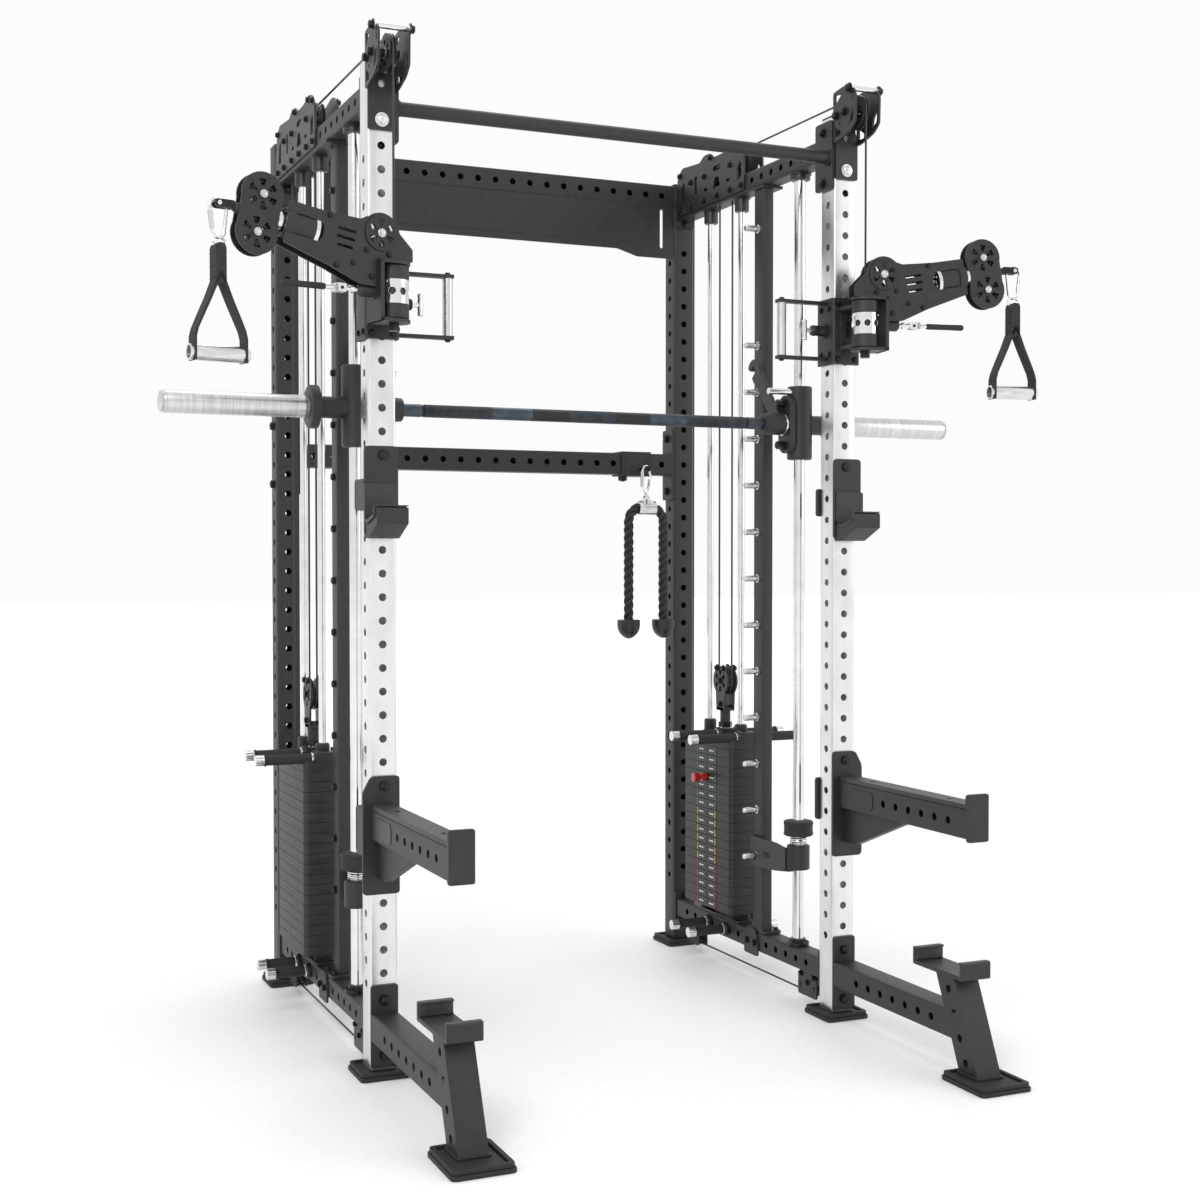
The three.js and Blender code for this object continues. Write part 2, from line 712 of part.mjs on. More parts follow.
// ---- arm carriage: sleeve, drum, grab handle and plunger barrel ----
const sleeveGap = 1.2;
const sleeveWall = 6;
const sleeveLow = 1566;
const sleeveTop = 1722;
const innerX = [side - tube / 2 - sleeveGap, side + tube / 2 + sleeveGap];
const innerY = [front - sleeveGap, front + tube + sleeveGap];
const outerX = [innerX[0] - sleeveWall, innerX[1] + sleeveWall];
const outerY = [innerY[0] - sleeveWall, innerY[1] + sleeveWall];
const drumLow = drumMid - drumHeight / 2;
const drumTop = drumMid + drumHeight / 2;
let carriage = block(outerX, outerY, [sleeveLow, sleeveTop]);
carriage = cut(carriage, block(innerX, innerY, [sleeveLow - 5, sleeveTop + 5]));
carriage = join(carriage, rod(at(side, pivotY, drumLow), at(side, pivotY, drumTop), drumRadius, 12));
[drumLow + 6, drumTop - 14].forEach((z) => {
  carriage = join(carriage, block([side - 26, side + 26], [pivotY, outerY[0] + 2], [z, z + 8]));
});
const grabX = 414;
const grabY = front + 30;
const grabLow = 1582;
const grabTop = 1710;
carriage = join(carriage, rod(at(grabX, grabY, grabLow), at(grabX, grabY, grabTop), 11));
[grabLow - 6, grabTop - 2].forEach((z) => {
  carriage = join(carriage, block([grabX - 12, outerX[0] + 2], [grabY - 8, grabY + 8], [z, z + 8]));
});
const plungerX = [outerX[0] - 34, outerX[0]];
carriage = join(
  carriage,
  rod(at(plungerX[0], grabY, plungerHole), at(plungerX[1] + 2, grabY, plungerHole), 13, 12),
);
carriage = cut(
  carriage,
  rod(at(plungerX[0] - 5, grabY, plungerHole), at(innerX[0] + 5, grabY, plungerHole), 6 + run, 8),
);
addPair('arm_carriage', carriage, blackCoat);

const pullX = plungerX[0] - 22;
const popPin = join(
  rod(at(pullX, grabY, plungerHole), at(innerX[0] - 1, grabY, plungerHole), 6, 8),
  rod(at(pullX, grabY, plungerHole - 22), at(pullX, grabY, plungerHole + 22), 6, 8),
);
addPair('pop_pin', popPin, chrome);

// ---- swinging arm, in its own plane: outward, up and across ----
const armTurn = THREE.MathUtils.degToRad(armRest);
const outward = at(Math.cos(armTurn), -Math.sin(armTurn), 0);
const across = new THREE.Vector3().crossVectors(outward, at(0, 0, 1));
const armPlane = new THREE.Matrix4().makeBasis(outward, at(0, 0, 1), across).setPosition(at(side, pivotY, 0));
const rise = THREE.MathUtils.degToRad(armRise);
const axisWay = at(Math.cos(rise), Math.sin(rise), 0);
const upWay = at(-Math.sin(rise), Math.cos(rise), 0);
const swivelPoint = (s, u) => at(
  headReach,
  headHeight,
  0,
).addScaledVector(axisWay, s).addScaledVector(upWay, u);

function inArm(geometry) {
  geometry.applyMatrix4(armPlane);
  return solidOf(geometry);
}

function armRod(from, to, radius, sides = 10) {
  return rod(from.clone().applyMatrix4(armPlane), to.clone().applyMatrix4(armPlane), radius, sides);
}

function armPlate(outline, t0, t1) {
  const geometry = new THREE.ExtrudeGeometry(
    outline,
    { depth: t1 - t0, bevelEnabled: false, curveSegments: 3 },
  );
  geometry.translate(0, 0, t0);
  return inArm(geometry);
}

function armBlock(r, z, t) {
  const geometry = new THREE.BoxGeometry(r[1] - r[0], z[1] - z[0], t[1] - t[0]);
  geometry.translate((r[0] + r[1]) / 2, (z[0] + z[1]) / 2, (t[0] + t[1]) / 2);
  return inArm(geometry);
}

function armWheel(centre, path) {
  const spoke = wheel(at(0, 0, 0), path);
  const geometry = geometryOf(spoke);
  geometry.deleteAttribute('normal');
  geometry.rotateY(Math.PI / 2);
  geometry.translate(centre.x, centre.y, centre.z);
  return inArm(geometry);
}

const cheekHalfGap = 15.5;
const cheekThick = 4;
const headClear = 46;
const tipS = -headClear - 8;
const tipTop = swivelPoint(tipS, 42);
const tipLow = swivelPoint(tipS, -42);
const armSide = new THREE.Shape();
armSide.moveTo(-34, drumTop + 9);
armSide.lineTo(46, drumTop + 9);
armSide.lineTo(46, 1656);
armSide.lineTo(87, 1659);
armSide.lineTo(149, 1688);
armSide.lineTo(tipLow.x, tipLow.y);
armSide.lineTo(tipTop.x, tipTop.y);
armSide.lineTo(84, 1789);
armSide.absarc(bossReach, bossHeight, 42, THREE.MathUtils.degToRad(50), THREE.MathUtils.degToRad(170), false);
armSide.lineTo(-34, 1738);

let arm = join(
  armPlate(armSide, cheekHalfGap, cheekHalfGap + cheekThick),
  armPlate(armSide, -cheekHalfGap - cheekThick, -cheekHalfGap),
);
const yokeR = [drumRadius + 6, drumRadius + 14];
const yokeT = [-34, 34];
const yokeZ = [drumLow - 9, drumTop + 9];
arm = join(arm, armBlock(yokeR, yokeZ, yokeT));
[[drumLow - 9, drumLow - 2], [drumTop + 2, drumTop + 9]].forEach((z) => {
  arm = join(arm, armBlock([0, yokeR[1]], z, yokeT));
  arm = join(arm, armRod(at(0, z[0], 0), at(0, z[1], 0), 34, 12));
});
arm = join(arm, armRod(at(0, drumLow - 24, 0), at(0, drumLow - 4, 0), 12, 8));
arm = join(arm, armRod(at(bossReach, bossHeight, -24), at(bossReach, bossHeight, 12), 8, 8));
arm = join(arm, armWheel(at(bossReach, bossHeight, 0), bossReach - 1));
const tubeR = 27;
const tubeBore = 21;
const tubeBack = -120;
arm = join(arm, armRod(swivelPoint(tubeBack, 0), swivelPoint(tipS, 0), tubeR, 12));
arm = cut(arm, armRod(swivelPoint(tubeBack - 5, 0), swivelPoint(tipS + 5, 0), tubeBore, 12));
const leverZ = 1650;
arm = join(arm, armRod(at(yokeR[1] - 2, leverZ, 0), at(yokeR[1] + 36, leverZ, 0), 13, 12));
const leverPivot = yokeR[1] + 74;
arm = join(arm, armRod(at(yokeR[1] + 34, leverZ, 0), at(leverPivot + 2, leverZ, 0), 5, 8));
addPair('arm', arm, blackCoat);

const forkSlot = armBlock([leverPivot - 12, leverPivot + 8], [leverZ - 10, leverZ + 10], [-5 - gap, 5 + gap]);
const lever = join(
  cut(armBlock([leverPivot - 11, leverPivot + 16], [leverZ - 9, leverZ + 9], [-9, 9]), forkSlot),
  armRod(at(leverPivot + 12, leverZ, 0), at(leverPivot + 128, leverZ, 0), 6.5, 8),
);
addPair('index_lever', lever, darkSteel);

// ---- swivel head ----
const cheekRound = 44;
const headOutline = new THREE.Shape();
const upper = swivelPoint(0, headHalf);
const lower = swivelPoint(0, -headHalf);
headOutline.absarc(upper.x, upper.y, cheekRound, rise, rise + Math.PI, false);
headOutline.absarc(lower.x, lower.y, cheekRound, rise + Math.PI, rise + 2 * Math.PI, false);
const headT = [11, 15];
let swivel = join(armPlate(headOutline, headT[0], headT[1]), armPlate(headOutline, -headT[1], -headT[0]));
[upper, lower].forEach((centre) => {
  swivel = join(swivel, armRod(at(centre.x, centre.y, -20), at(centre.x, centre.y, 12), 7, 8));
  swivel = join(swivel, armWheel(centre, headHalf - cableRadius - 1));
});
swivel = join(swivel, armRod(swivelPoint(-114, 0), swivelPoint(-34, 0), tubeBore - 2 * run, 12));
swivel = cut(swivel, armRod(swivelPoint(-120, 0), swivelPoint(-30, 0), 9, 8));
swivel = join(swivel, armRod(swivelPoint(12, 0), swivelPoint(54, 0), 12, 8));
[-1, 1].forEach((way) => {
  const cheek = [way * 6, way * 10].sort((a, b) => a - b);
  swivel = join(swivel, armBlock([headReach + 48, hangReach + 8], [hangHeight - 8, hangHeight + 7], cheek));
});
swivel = join(swivel, armRod(at(hangReach, hangHeight, -12), at(hangReach, hangHeight, 12), 4.5, 8));
addPair('swivel_head', swivel, blackCoat);

// ---- strap handle: clip, webbing and grip ----
const hangR = hangReach;
const clipHalf = 14;
const clipTop = hangHeight - 1 + clipHalf;
const clipLow = 1722;
const wire = 4;
function ringOutline(midR, half, low, high, thick) {
  const outline = new THREE.Shape();
  outline.absarc(midR, high - half, half, 0, Math.PI, false);
  outline.absarc(midR, low + half, half, Math.PI, 2 * Math.PI, false);
  const inner = new THREE.Path();
  inner.absarc(midR, high - half, half - thick, 0, Math.PI, false);
  inner.absarc(midR, low + half, half - thick, Math.PI, 2 * Math.PI, false);
  outline.holes.push(inner);
  return outline;
}
const gripZ = 1500;
const gripHalf = 56;
const strapTop = 1706;
const strapWide = 17;
const strapSplit = 1640;
let handle = armPlate(ringOutline(hangR, clipHalf, clipLow, clipTop, 2 * wire), -wire, wire);
handle = join(handle, armBlock([hangR - 13, hangR + 13], [strapTop - 4, clipLow + 6], [-3, 3]));
handle = join(handle, armBlock([hangR - 11, hangR + 11], [strapSplit, strapTop], [-strapWide, strapWide]));
[-1, 1].forEach((way) => {
  const webOutline = polygon(
    [hangR - way * 4, strapSplit + 8],
    [hangR + way * 6, strapSplit + 8],
    [hangR + way * gripHalf, gripZ + 46],
    [hangR + way * gripHalf, gripZ - 8],
    [hangR + way * (gripHalf - 6), gripZ - 8],
    [hangR + way * (gripHalf - 6), gripZ + 44],
  );
  handle = join(handle, armPlate(webOutline, -strapWide, strapWide));
});
handle = join(handle, armRod(at(hangR - gripHalf - 4, gripZ, 0), at(hangR + gripHalf + 4, gripZ, 0), 16, 12));
addPair('strap_handle', handle, webbing);

// ---- barbell carriage, bar and stops ----
addPair('smith_rod', join(
  rod(at(side, smithY, beamTop + gap), at(side, smithY, beamTop + 13), 28, 12),
  rod(at(side, smithY, beamTop + gap), at(side, smithY, roof - 7), smithRadius, 12),
), chrome);

const carriageLow = 1351;
const carriageTop = 1533;
const carriageRadius = 31;
const bearingX = [side - 44, side - 29];
const collarX = [side + 90, side + 102];
const grabPinX = side - 92;
const journal = 12;
const bearing = new THREE.Shape();
bearing.absarc(smithY, barHeight + 42, 30, 0, Math.PI, false);
bearing.absarc(smithY, barHeight - 42, 30, Math.PI, 2 * Math.PI, false);
let smithCarriage = rod(at(side, smithY, carriageLow), at(side, smithY, carriageTop), carriageRadius, 12);
smithCarriage = join(smithCarriage, sidePlate(bearing, bearingX[0], bearingX[1]));
smithCarriage = join(
  smithCarriage,
  block([bearingX[1] - 2, side], [smithY - 20, smithY + 20], [barHeight - 60, barHeight + 60]),
);
smithCarriage = join(
  smithCarriage,
  rod(at(side, smithY, barHeight), at(collarX[0] + 8, smithY, barHeight), 24, 12),
);
smithCarriage = cut(
  smithCarriage,
  rod(at(side, smithY, carriageLow - 5), at(side, smithY, carriageTop + 5), smithRadius + run, 12),
);
smithCarriage = cut(
  smithCarriage,
  rod(at(bearingX[0] - 5, smithY, barHeight), at(bearingX[1] - 2, smithY, barHeight), journal + run, 12),
);
smithCarriage = join(
  smithCarriage,
  rod(at(collarX[0], smithY, barHeight), at(collarX[1], smithY, barHeight), 46, 12),
);
smithCarriage = join(
  smithCarriage,
  rod(at(collarX[1] - 2, smithY, barHeight), at(sleeveEnd, smithY, barHeight), 25, 12),
);
smithCarriage = join(
  smithCarriage,
  rod(
    at(grabPinX, smithY - 4, carriageTop - 14),
    at(side - carriageRadius + 4, smithY - 4, carriageTop - 14),
    8,
    8,
  ),
);
addPair('smith_carriage', smithCarriage, blackCoat);

const latchReach = Math.hypot(latchY - smithY, lowestLatch + 10 * latchPitch - barHeight);
const latchAngle = Math.atan2(lowestLatch + 10 * latchPitch - barHeight, latchY - smithY);
const hookX = [side - 64, side - 52];
const hubX = [side - 108, side - 46];
const slotHalf = latchRadius + 1.6;
const hookHead = 28;
const neckHalf = 16;
const mouth = 18;
const hookAngle = latchAngle + THREE.MathUtils.degToRad(hookTurn);
// along runs from the barbell to the latch peg, up is square to it
const hookAt = (along, up) => new THREE.Vector2(
  smithY + along * Math.cos(hookAngle) - up * Math.sin(hookAngle),
  barHeight + along * Math.sin(hookAngle) + up * Math.cos(hookAngle),
);
const hookArc = (radius, from, to, steps) => Array.from({ length: steps + 1 }, (_, i) => {
  const angle = THREE.MathUtils.degToRad(from + ((to - from) * i) / steps);
  return hookAt(latchReach + radius * Math.cos(angle), radius * Math.sin(angle));
});
const hookOutline = new THREE.Shape([
  hookAt(8, -24),
  hookAt(60, -neckHalf),
  hookAt(latchReach - hookHead - 8, -neckHalf),
  hookAt(latchReach - hookHead + 3, -mouth - 2),
  hookAt(latchReach - slotHalf, -mouth),
  ...hookArc(slotHalf, 180, 0, 6),
  hookAt(latchReach + slotHalf, -mouth + 4),
  ...hookArc(hookHead, -38, 140, 8),
  hookAt(60, neckHalf),
  hookAt(8, 24),
]);
let bar = rod(at(-hubX[1], smithY, barHeight), at(hubX[1], smithY, barHeight), barRadius, 12);
bar = join(
  bar,
  rod(at(-bearingX[1] + 3, smithY, barHeight), at(bearingX[1] - 3, smithY, barHeight), journal, 12),
);
[-1, 1].forEach((way) => {
  const hub = [way * hubX[0], way * hubX[1]].sort((a, b) => a - b);
  const hook = [way * hookX[0], way * hookX[1]].sort((a, b) => a - b);
  bar = join(bar, rod(at(hub[0], smithY, barHeight), at(hub[1], smithY, barHeight), 26, 12));
  bar = join(bar, sidePlate(hookOutline, hook[0], hook[1]));
});
add('smith_bar', bar, darkSteel);

const stopLow = 324;
const stopPlate = [305, 385];
const stopPlateX = [beamX[0] - 9, beamX[0] - 1];
let stop = rod(at(side, smithY, stopLow), at(side, smithY, stopLow + 61), 28.5, 12);
stop = join(stop, rod(at(side, smithY, stopLow + 58), at(side, smithY, stopLow + 90), 21, 12));
stop = join(stop, rod(at(side, smithY, stopLow + 87), at(side, smithY, stopLow + 122), 37, 12));
stop = cut(stop, rod(at(side, smithY, stopLow - 25), at(side, smithY, stopLow + 130), smithRadius + run, 12));
const stopWeb = join(
  block(stopPlateX, [smithY + 6, latchY + 22], stopPlate),
  block([stopPlateX[0], side - smithRadius - 4], [smithY + 6, smithY + 12], [stopLow, stopPlate[1]]),
);
const pegWay = block(
  [stopPlateX[0] - 5, stopPlateX[1] + 5],
  [latchY - 16, latchY + 40],
  [lowestLatch - 10, lowestLatch + 10],
);
const webClear = rod(at(side, smithY, stopLow - 25), at(side, smithY, stopLow + 130), smithRadius + run, 12);
stop = cut(join(stop, cut(stopWeb, pegWay)), webClear);
addPair('smith_stop', stop, blackCoat);

// ---- bar holder ----
const holderX = [side - 33, side + 41];
const holderZ = [1146, 1341];
const holderFace = front - gap;
const sideFar = [side + tube / 2 + 3, side + tube / 2 + 11];
const tabY = [front + tube + 2, front + tube + 10];
const pinDeep = 26;
function hangBracket(pinZ, plateZ, tabZ) {
  let bracket = block(holderX, [holderFace - 8, holderFace], plateZ);
  bracket = join(bracket, block(sideFar, [holderFace - 8, tabY[1]], tabZ));
  bracket = join(bracket, block([side - tube / 2 - 8, sideFar[1]], tabY, tabZ));
  bracket = join(
    bracket,
    rod(at(side, holderFace - 4, pinZ), at(side, front + pinDeep, pinZ), holeRadius - run, 8),
  );
  return bracket;
}
const holderLip = polygon(
  [holderFace - 4, holderZ[0]],
  [holderFace - 30, holderZ[0]],
  [holderFace - 95, holderZ[0] + 32],
  [holderFace - 95, holderZ[0] + 63],
  [holderFace - 84, holderZ[0] + 63],
  [holderFace - 84, holderZ[0] + 44],
  [holderFace - 28, holderZ[0] + 28],
  [holderFace - 8, holderZ[0] + 44],
  [holderFace - 4, holderZ[0] + 44],
);
let holder = hangBracket(holderHole, holderZ, [1206, 1272]);
holder = join(holder, sidePlate(holderLip, holderX[0] + 4, holderX[1] + 4));
addPair('bar_holder', holder, blackCoat);

// ---- spotter arm ----
const spotZ = [392, 644];
const armZ = [510, 584];
const spotX = [side - 20, side + 30];
const spotEnd = front - 516;
const spotStop = 9;
const spotStopZ = [504, 608];
const gussetReach = 258;
let spotter = hangBracket(spotterHole, spotZ, [472, 574]);
spotter = join(spotter, block(spotX, [spotEnd, holderFace - 6], armZ));
spotter = join(spotter, block(spotX, [spotEnd - spotStop, spotEnd], spotStopZ));
const gusset = polygon([holderFace - 6, 430], [holderFace - 6, 512], [front - gussetReach, 512]);
spotter = join(spotter, sidePlate(gusset, spotX[0] + 2, spotX[1] - 2));
addPair('spotter_arm', spotter, blackCoat);

// ---- rope handle on its hook ----
const ropeY = rear - 36;
const ropeHalf = 53.5;
const ropeRadius = 14;
const ropeEnd = 930;
const collarZ = [1232, 1270];
let hanger = armFreeRing(ropeX, 1288, ropePeg - 3 + 17);
hanger = join(hanger, rod(at(ropeX, ropeY, 1262), at(ropeX, ropeY, 1296), 6, 8));
hanger = join(hanger, block([ropeX - 26, ropeX + 26], [ropeY - 17, ropeY + 17], [collarZ[0], collarZ[1]]));
hanger = cut(
  hanger,
  block(
    [ropeX - 40, ropeX + 40],
    [ropeY - ropeRadius - gap, ropeY + ropeRadius + gap],
    [collarZ[0] - 5, collarZ[0] + 31],
  ),
);
add('rope_clamp', hanger, chrome);

function armFreeRing(midX, low, high) {
  const outline = ringOutline(midX, 17, low, high, 8);
  return facePlate(outline, ropeY - 4, ropeY + 4);
}

const ropeTop = collarZ[0] + 31 - ropeRadius - gap;
const bend = 40;
const ropeSteps = 6;
const ropePath = [at(ropeX - ropeHalf, ropeY, ropeEnd - 2), at(ropeX - ropeHalf, ropeY, ropeTop - bend)];
for (let i = 1; i <= ropeSteps; i += 1) {
  const angle = (Math.PI / 2) * (i / ropeSteps);
  ropePath.push(at(
    ropeX - ropeHalf + bend * (1 - Math.cos(angle)),
    ropeY,
    ropeTop - bend + bend * Math.sin(angle),
  ));
}
for (let i = 0; i <= ropeSteps; i += 1) {
  const angle = (Math.PI / 2) * (i / ropeSteps);
  ropePath.push(at(
    ropeX + ropeHalf - bend + bend * Math.sin(angle),
    ropeY,
    ropeTop - bend + bend * Math.cos(angle),
  ));
}
ropePath.push(at(ropeX + ropeHalf, ropeY, ropeEnd - 2));
let ropeHandle = cableAlong(ropePath, ropeRadius, 10);
[-1, 1].forEach((way) => {
  const knob = new THREE.LatheGeometry([
    new THREE.Vector2(0, 0),
    new THREE.Vector2(18, 4),
    new THREE.Vector2(30, 12),
    new THREE.Vector2(33, 38),
    new THREE.Vector2(30, 48),
    new THREE.Vector2(0, 50),
  ], 12);
  knob.rotateX(Math.PI / 2);
  knob.translate(ropeX + way * ropeHalf, ropeY, ropeEnd - 50);
  ropeHandle = join(ropeHandle, solidOf(knob));
});
add('rope_handle', ropeHandle, ropeBlack);

export default group;
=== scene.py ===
import math
import bpy
import bmesh
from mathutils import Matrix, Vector, geometry


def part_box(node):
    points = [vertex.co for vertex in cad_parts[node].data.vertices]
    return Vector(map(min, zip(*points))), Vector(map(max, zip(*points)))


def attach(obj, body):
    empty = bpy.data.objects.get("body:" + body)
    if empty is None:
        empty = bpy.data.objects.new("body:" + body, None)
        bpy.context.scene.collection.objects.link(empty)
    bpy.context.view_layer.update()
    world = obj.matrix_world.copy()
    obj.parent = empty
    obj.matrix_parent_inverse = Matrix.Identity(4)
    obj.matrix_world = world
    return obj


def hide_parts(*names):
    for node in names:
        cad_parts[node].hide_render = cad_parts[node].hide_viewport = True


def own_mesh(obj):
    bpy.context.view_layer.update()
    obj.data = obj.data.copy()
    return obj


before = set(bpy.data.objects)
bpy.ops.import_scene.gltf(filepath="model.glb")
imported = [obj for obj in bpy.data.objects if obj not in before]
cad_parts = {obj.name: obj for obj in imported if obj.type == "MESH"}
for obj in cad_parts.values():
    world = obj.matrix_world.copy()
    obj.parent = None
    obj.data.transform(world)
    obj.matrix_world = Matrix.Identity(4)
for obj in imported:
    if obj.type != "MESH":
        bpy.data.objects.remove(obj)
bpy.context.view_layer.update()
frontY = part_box("front_upright_r")[0][1] * 1000 + 27      # front faces of the front uprights
side = 570                                                # middle of the right-hand uprights


# camera, light and floor
# the floor glow keys set a painted glow: a white emission on the floor that grows with distance
studio = dict(cameraAt=(-1571.2, -3416.4, 1100.0), turn=-23.757, tilt=-1.363, lens=50.07,
              floorSize=40.0, paintedGlowFrom=2.5, paintedGlowTo=9.0, paintedGlowPower=0.3, keyPower=120, fillPower=30,
              topPower=50, worldPower=0.86)


def row(x, y, z):
    return Vector((x / 1000, (y + frontY) / 1000, z / 1000))


def lookFrom(obj, spot, target):
    obj.location = spot
    obj.rotation_euler = (Vector(target) - Vector(spot)).to_track_quat("-Z", "Y").to_euler()


def areaLight(name, spot, target, size, power):
    data = bpy.data.lights.new(name, "AREA")
    data.shape = "DISK"
    data.size = size
    data.energy = power
    obj = bpy.data.objects.new(name, data)
    bpy.context.collection.objects.link(obj)
    lookFrom(obj, spot, target)


def setStudio():
    camData = bpy.data.cameras.new("camera")
    camData.lens = studio["lens"]
    camData.sensor_width = 36
    camData.clip_end = 120
    cam = bpy.data.objects.new("camera", camData)
    bpy.context.collection.objects.link(cam)
    cam.location = row(*studio["cameraAt"])
    cam.rotation_euler = (math.radians(90 + studio["tilt"]), 0, math.radians(studio["turn"]))
    bpy.context.scene.camera = cam
    areaLight("keyLight", (-3.2, -3.6, 4.4), (0, 0, 1.0), 2.6, studio["keyPower"])
    areaLight("fillLight", (4.2, -2.6, 2.6), (0, 0, 1.0), 3.2, studio["fillPower"])
    areaLight("topLight", (0.6, 1.6, 5.2), (0, 0, 0.6), 3.4, studio["topPower"])
    world = bpy.data.worlds.new("studioWorld")
    world.use_nodes = True
    sky = world.node_tree.nodes["Background"]
    sky.inputs[1].default_value = studio["worldPower"]
    nodes, links = world.node_tree.nodes, world.node_tree.links
    spot = nodes.new("ShaderNodeTexCoord")
    parts = nodes.new("ShaderNodeSeparateXYZ")
    height = nodes.new("ShaderNodeMapRange")
    height.inputs["From Min"].default_value = -0.25
    height.inputs["From Max"].default_value = 0.9
    height.inputs["To Min"].default_value = 1.14
    height.inputs["To Max"].default_value = 1.12
    links.new(spot.outputs["Generated"], parts.inputs["Vector"])
    links.new(parts.outputs["Z"], height.inputs["Value"])
    links.new(height.outputs["Result"], sky.inputs[0])
    bpy.context.scene.world = world
    bpy.context.scene.view_settings.view_transform = "Standard"
    print("studio set")


setStudio()


# finishes: each is noise for colour and roughness, a bump, and a pattern of its own
def finish(name, dark, light, rough, metal=0.0, grain=(60, 60, 60), bump=(900, 0.08), pattern=None, coat=0.0):
    material = bpy.data.materials.new(name)
    material.use_nodes = True
    nodes = material.node_tree.nodes
    links = material.node_tree.links
    shader = nodes["Principled BSDF"]
    shader.inputs["Metallic"].default_value = metal
    shader.inputs["Coat Weight"].default_value = coat
    spot = nodes.new("ShaderNodeTexCoord")
    stretch = nodes.new("ShaderNodeMapping")
    stretch.inputs["Scale"].default_value = grain
    links.new(spot.outputs["Object"], stretch.inputs["Vector"])
    cloudy = nodes.new("ShaderNodeTexNoise")
    cloudy.inputs["Scale"].default_value = 1.0
    cloudy.inputs["Detail"].default_value = 5.0
    links.new(stretch.outputs["Vector"], cloudy.inputs["Vector"])
    tone = nodes.new("ShaderNodeValToRGB")
    tone.color_ramp.elements[0].position = 0.3
    tone.color_ramp.elements[1].position = 0.72
    tone.color_ramp.elements[0].color = (*dark, 1)
    tone.color_ramp.elements[1].color = (*light, 1)
    links.new(cloudy.outputs["Fac"], tone.inputs["Fac"])
    colour = tone.outputs["Color"]
    sheen = nodes.new("ShaderNodeMapRange")
    sheen.inputs["To Min"].default_value = rough[0]
    sheen.inputs["To Max"].default_value = rough[1]
    links.new(cloudy.outputs["Fac"], sheen.inputs["Value"])
    links.new(sheen.outputs["Result"], shader.inputs["Roughness"])
    fine = nodes.new("ShaderNodeTexNoise")
    fine.inputs["Scale"].default_value = bump[0]
    fine.inputs["Detail"].default_value = 3.0
    links.new(spot.outputs["Object"], fine.inputs["Vector"])
    height = fine.outputs["Fac"]
    if pattern:
        kind, axis, scale, depth = pattern
        if kind == "lines":
            wave = nodes.new("ShaderNodeTexWave")
            wave.wave_type = "BANDS"
            wave.bands_direction = axis
            wave.inputs["Scale"].default_value = scale
            wave.inputs["Distortion"].default_value = 0.4
            links.new(spot.outputs["Object"], wave.inputs["Vector"])
            shape = wave.outputs["Fac"]
        elif kind == "cells":
            cells = nodes.new("ShaderNodeTexVoronoi")
            cells.inputs["Scale"].default_value = scale
            links.new(spot.outputs["Object"], cells.inputs["Vector"])
            shape = cells.outputs["Distance"]
        else:                                             # "weave" or "knurl": two crossed waves
            made = []
            for turn in (45, -45) if kind == "knurl" else (0, 90):
                cross = nodes.new("ShaderNodeMapping")
                cross.inputs["Rotation"].default_value = [math.radians(turn) if a == axis else 0
                                                          for a in "XYZ"]
                links.new(spot.outputs["Object"], cross.inputs["Vector"])
                wave = nodes.new("ShaderNodeTexWave")
                wave.bands_direction = "Z"
                wave.inputs["Scale"].default_value = scale
                links.new(cross.outputs["Vector"], wave.inputs["Vector"])
                made.append(wave.outputs["Fac"])
            both = nodes.new("ShaderNodeMath")
            both.operation = "MULTIPLY"
            links.new(made[0], both.inputs[0])
            links.new(made[1], both.inputs[1])
            shape = both.outputs["Value"]
        mixed = nodes.new("ShaderNodeMath")
        mixed.operation = "MULTIPLY_ADD"
        mixed.inputs[1].default_value = depth
        links.new(shape, mixed.inputs[0])
        links.new(height, mixed.inputs[2])
        height = mixed.outputs["Value"]
        shade = nodes.new("ShaderNodeMix")
        shade.data_type = "RGBA"
        shade.blend_type = "MULTIPLY"
        shade.inputs[0].default_value = min(0.55, 0.12 * depth)
        links.new(colour, shade.inputs[6])
        links.new(shape, shade.inputs[7])
        colour = shade.outputs[2]
    links.new(colour, shader.inputs["Base Color"])
    relief = nodes.new("ShaderNodeBump")
    relief.inputs["Strength"].default_value = bump[1]
    relief.inputs["Distance"].default_value = 0.001
    links.new(height, relief.inputs["Height"])
    links.new(relief.outputs["Normal"], shader.inputs["Normal"])
    return material


coat = finish("blackCoat", (0.0115, 0.0115, 0.0122), (0.019, 0.019, 0.0202), (0.4, 0.56), bump=(1400, 0.22),
              pattern=("cells", "X", 700, 0.6))
laser = finish("laserPlate", (0.010, 0.010, 0.0105), (0.017, 0.017, 0.018), (0.34, 0.5), bump=(1600, 0.16))
zinc = finish("brightZinc", (0.70, 0.705, 0.715), (0.80, 0.803, 0.808), (0.24, 0.33), 1.0,
              grain=(30, 30, 14), bump=(500, 0.012), pattern=("cells", "X", 55, 0.12))
chrome = finish("chrome", (0.70, 0.71, 0.72), (0.80, 0.805, 0.81), (0.10, 0.16), 1.0, grain=(8, 8, 30),
                bump=(120, 0.002))
satin = finish("turnedSteel", (0.50, 0.51, 0.52), (0.72, 0.725, 0.73), (0.22, 0.38), 1.0,
               grain=(260, 12, 12), bump=(700, 0.012), pattern=("lines", "X", 260, 0.25))
barSteel = finish("barSteel", (0.05, 0.062, 0.075), (0.085, 0.102, 0.12), (0.3, 0.46), 0.85,
                  grain=(40, 40, 40), bump=(800, 0.05))
knurl = finish("barKnurl", (0.045, 0.055, 0.066), (0.09, 0.105, 0.122), (0.36, 0.55), 0.85,
               grain=(50, 50, 50), bump=(700, 0.5), pattern=("knurl", "Y", 420, 3.0))
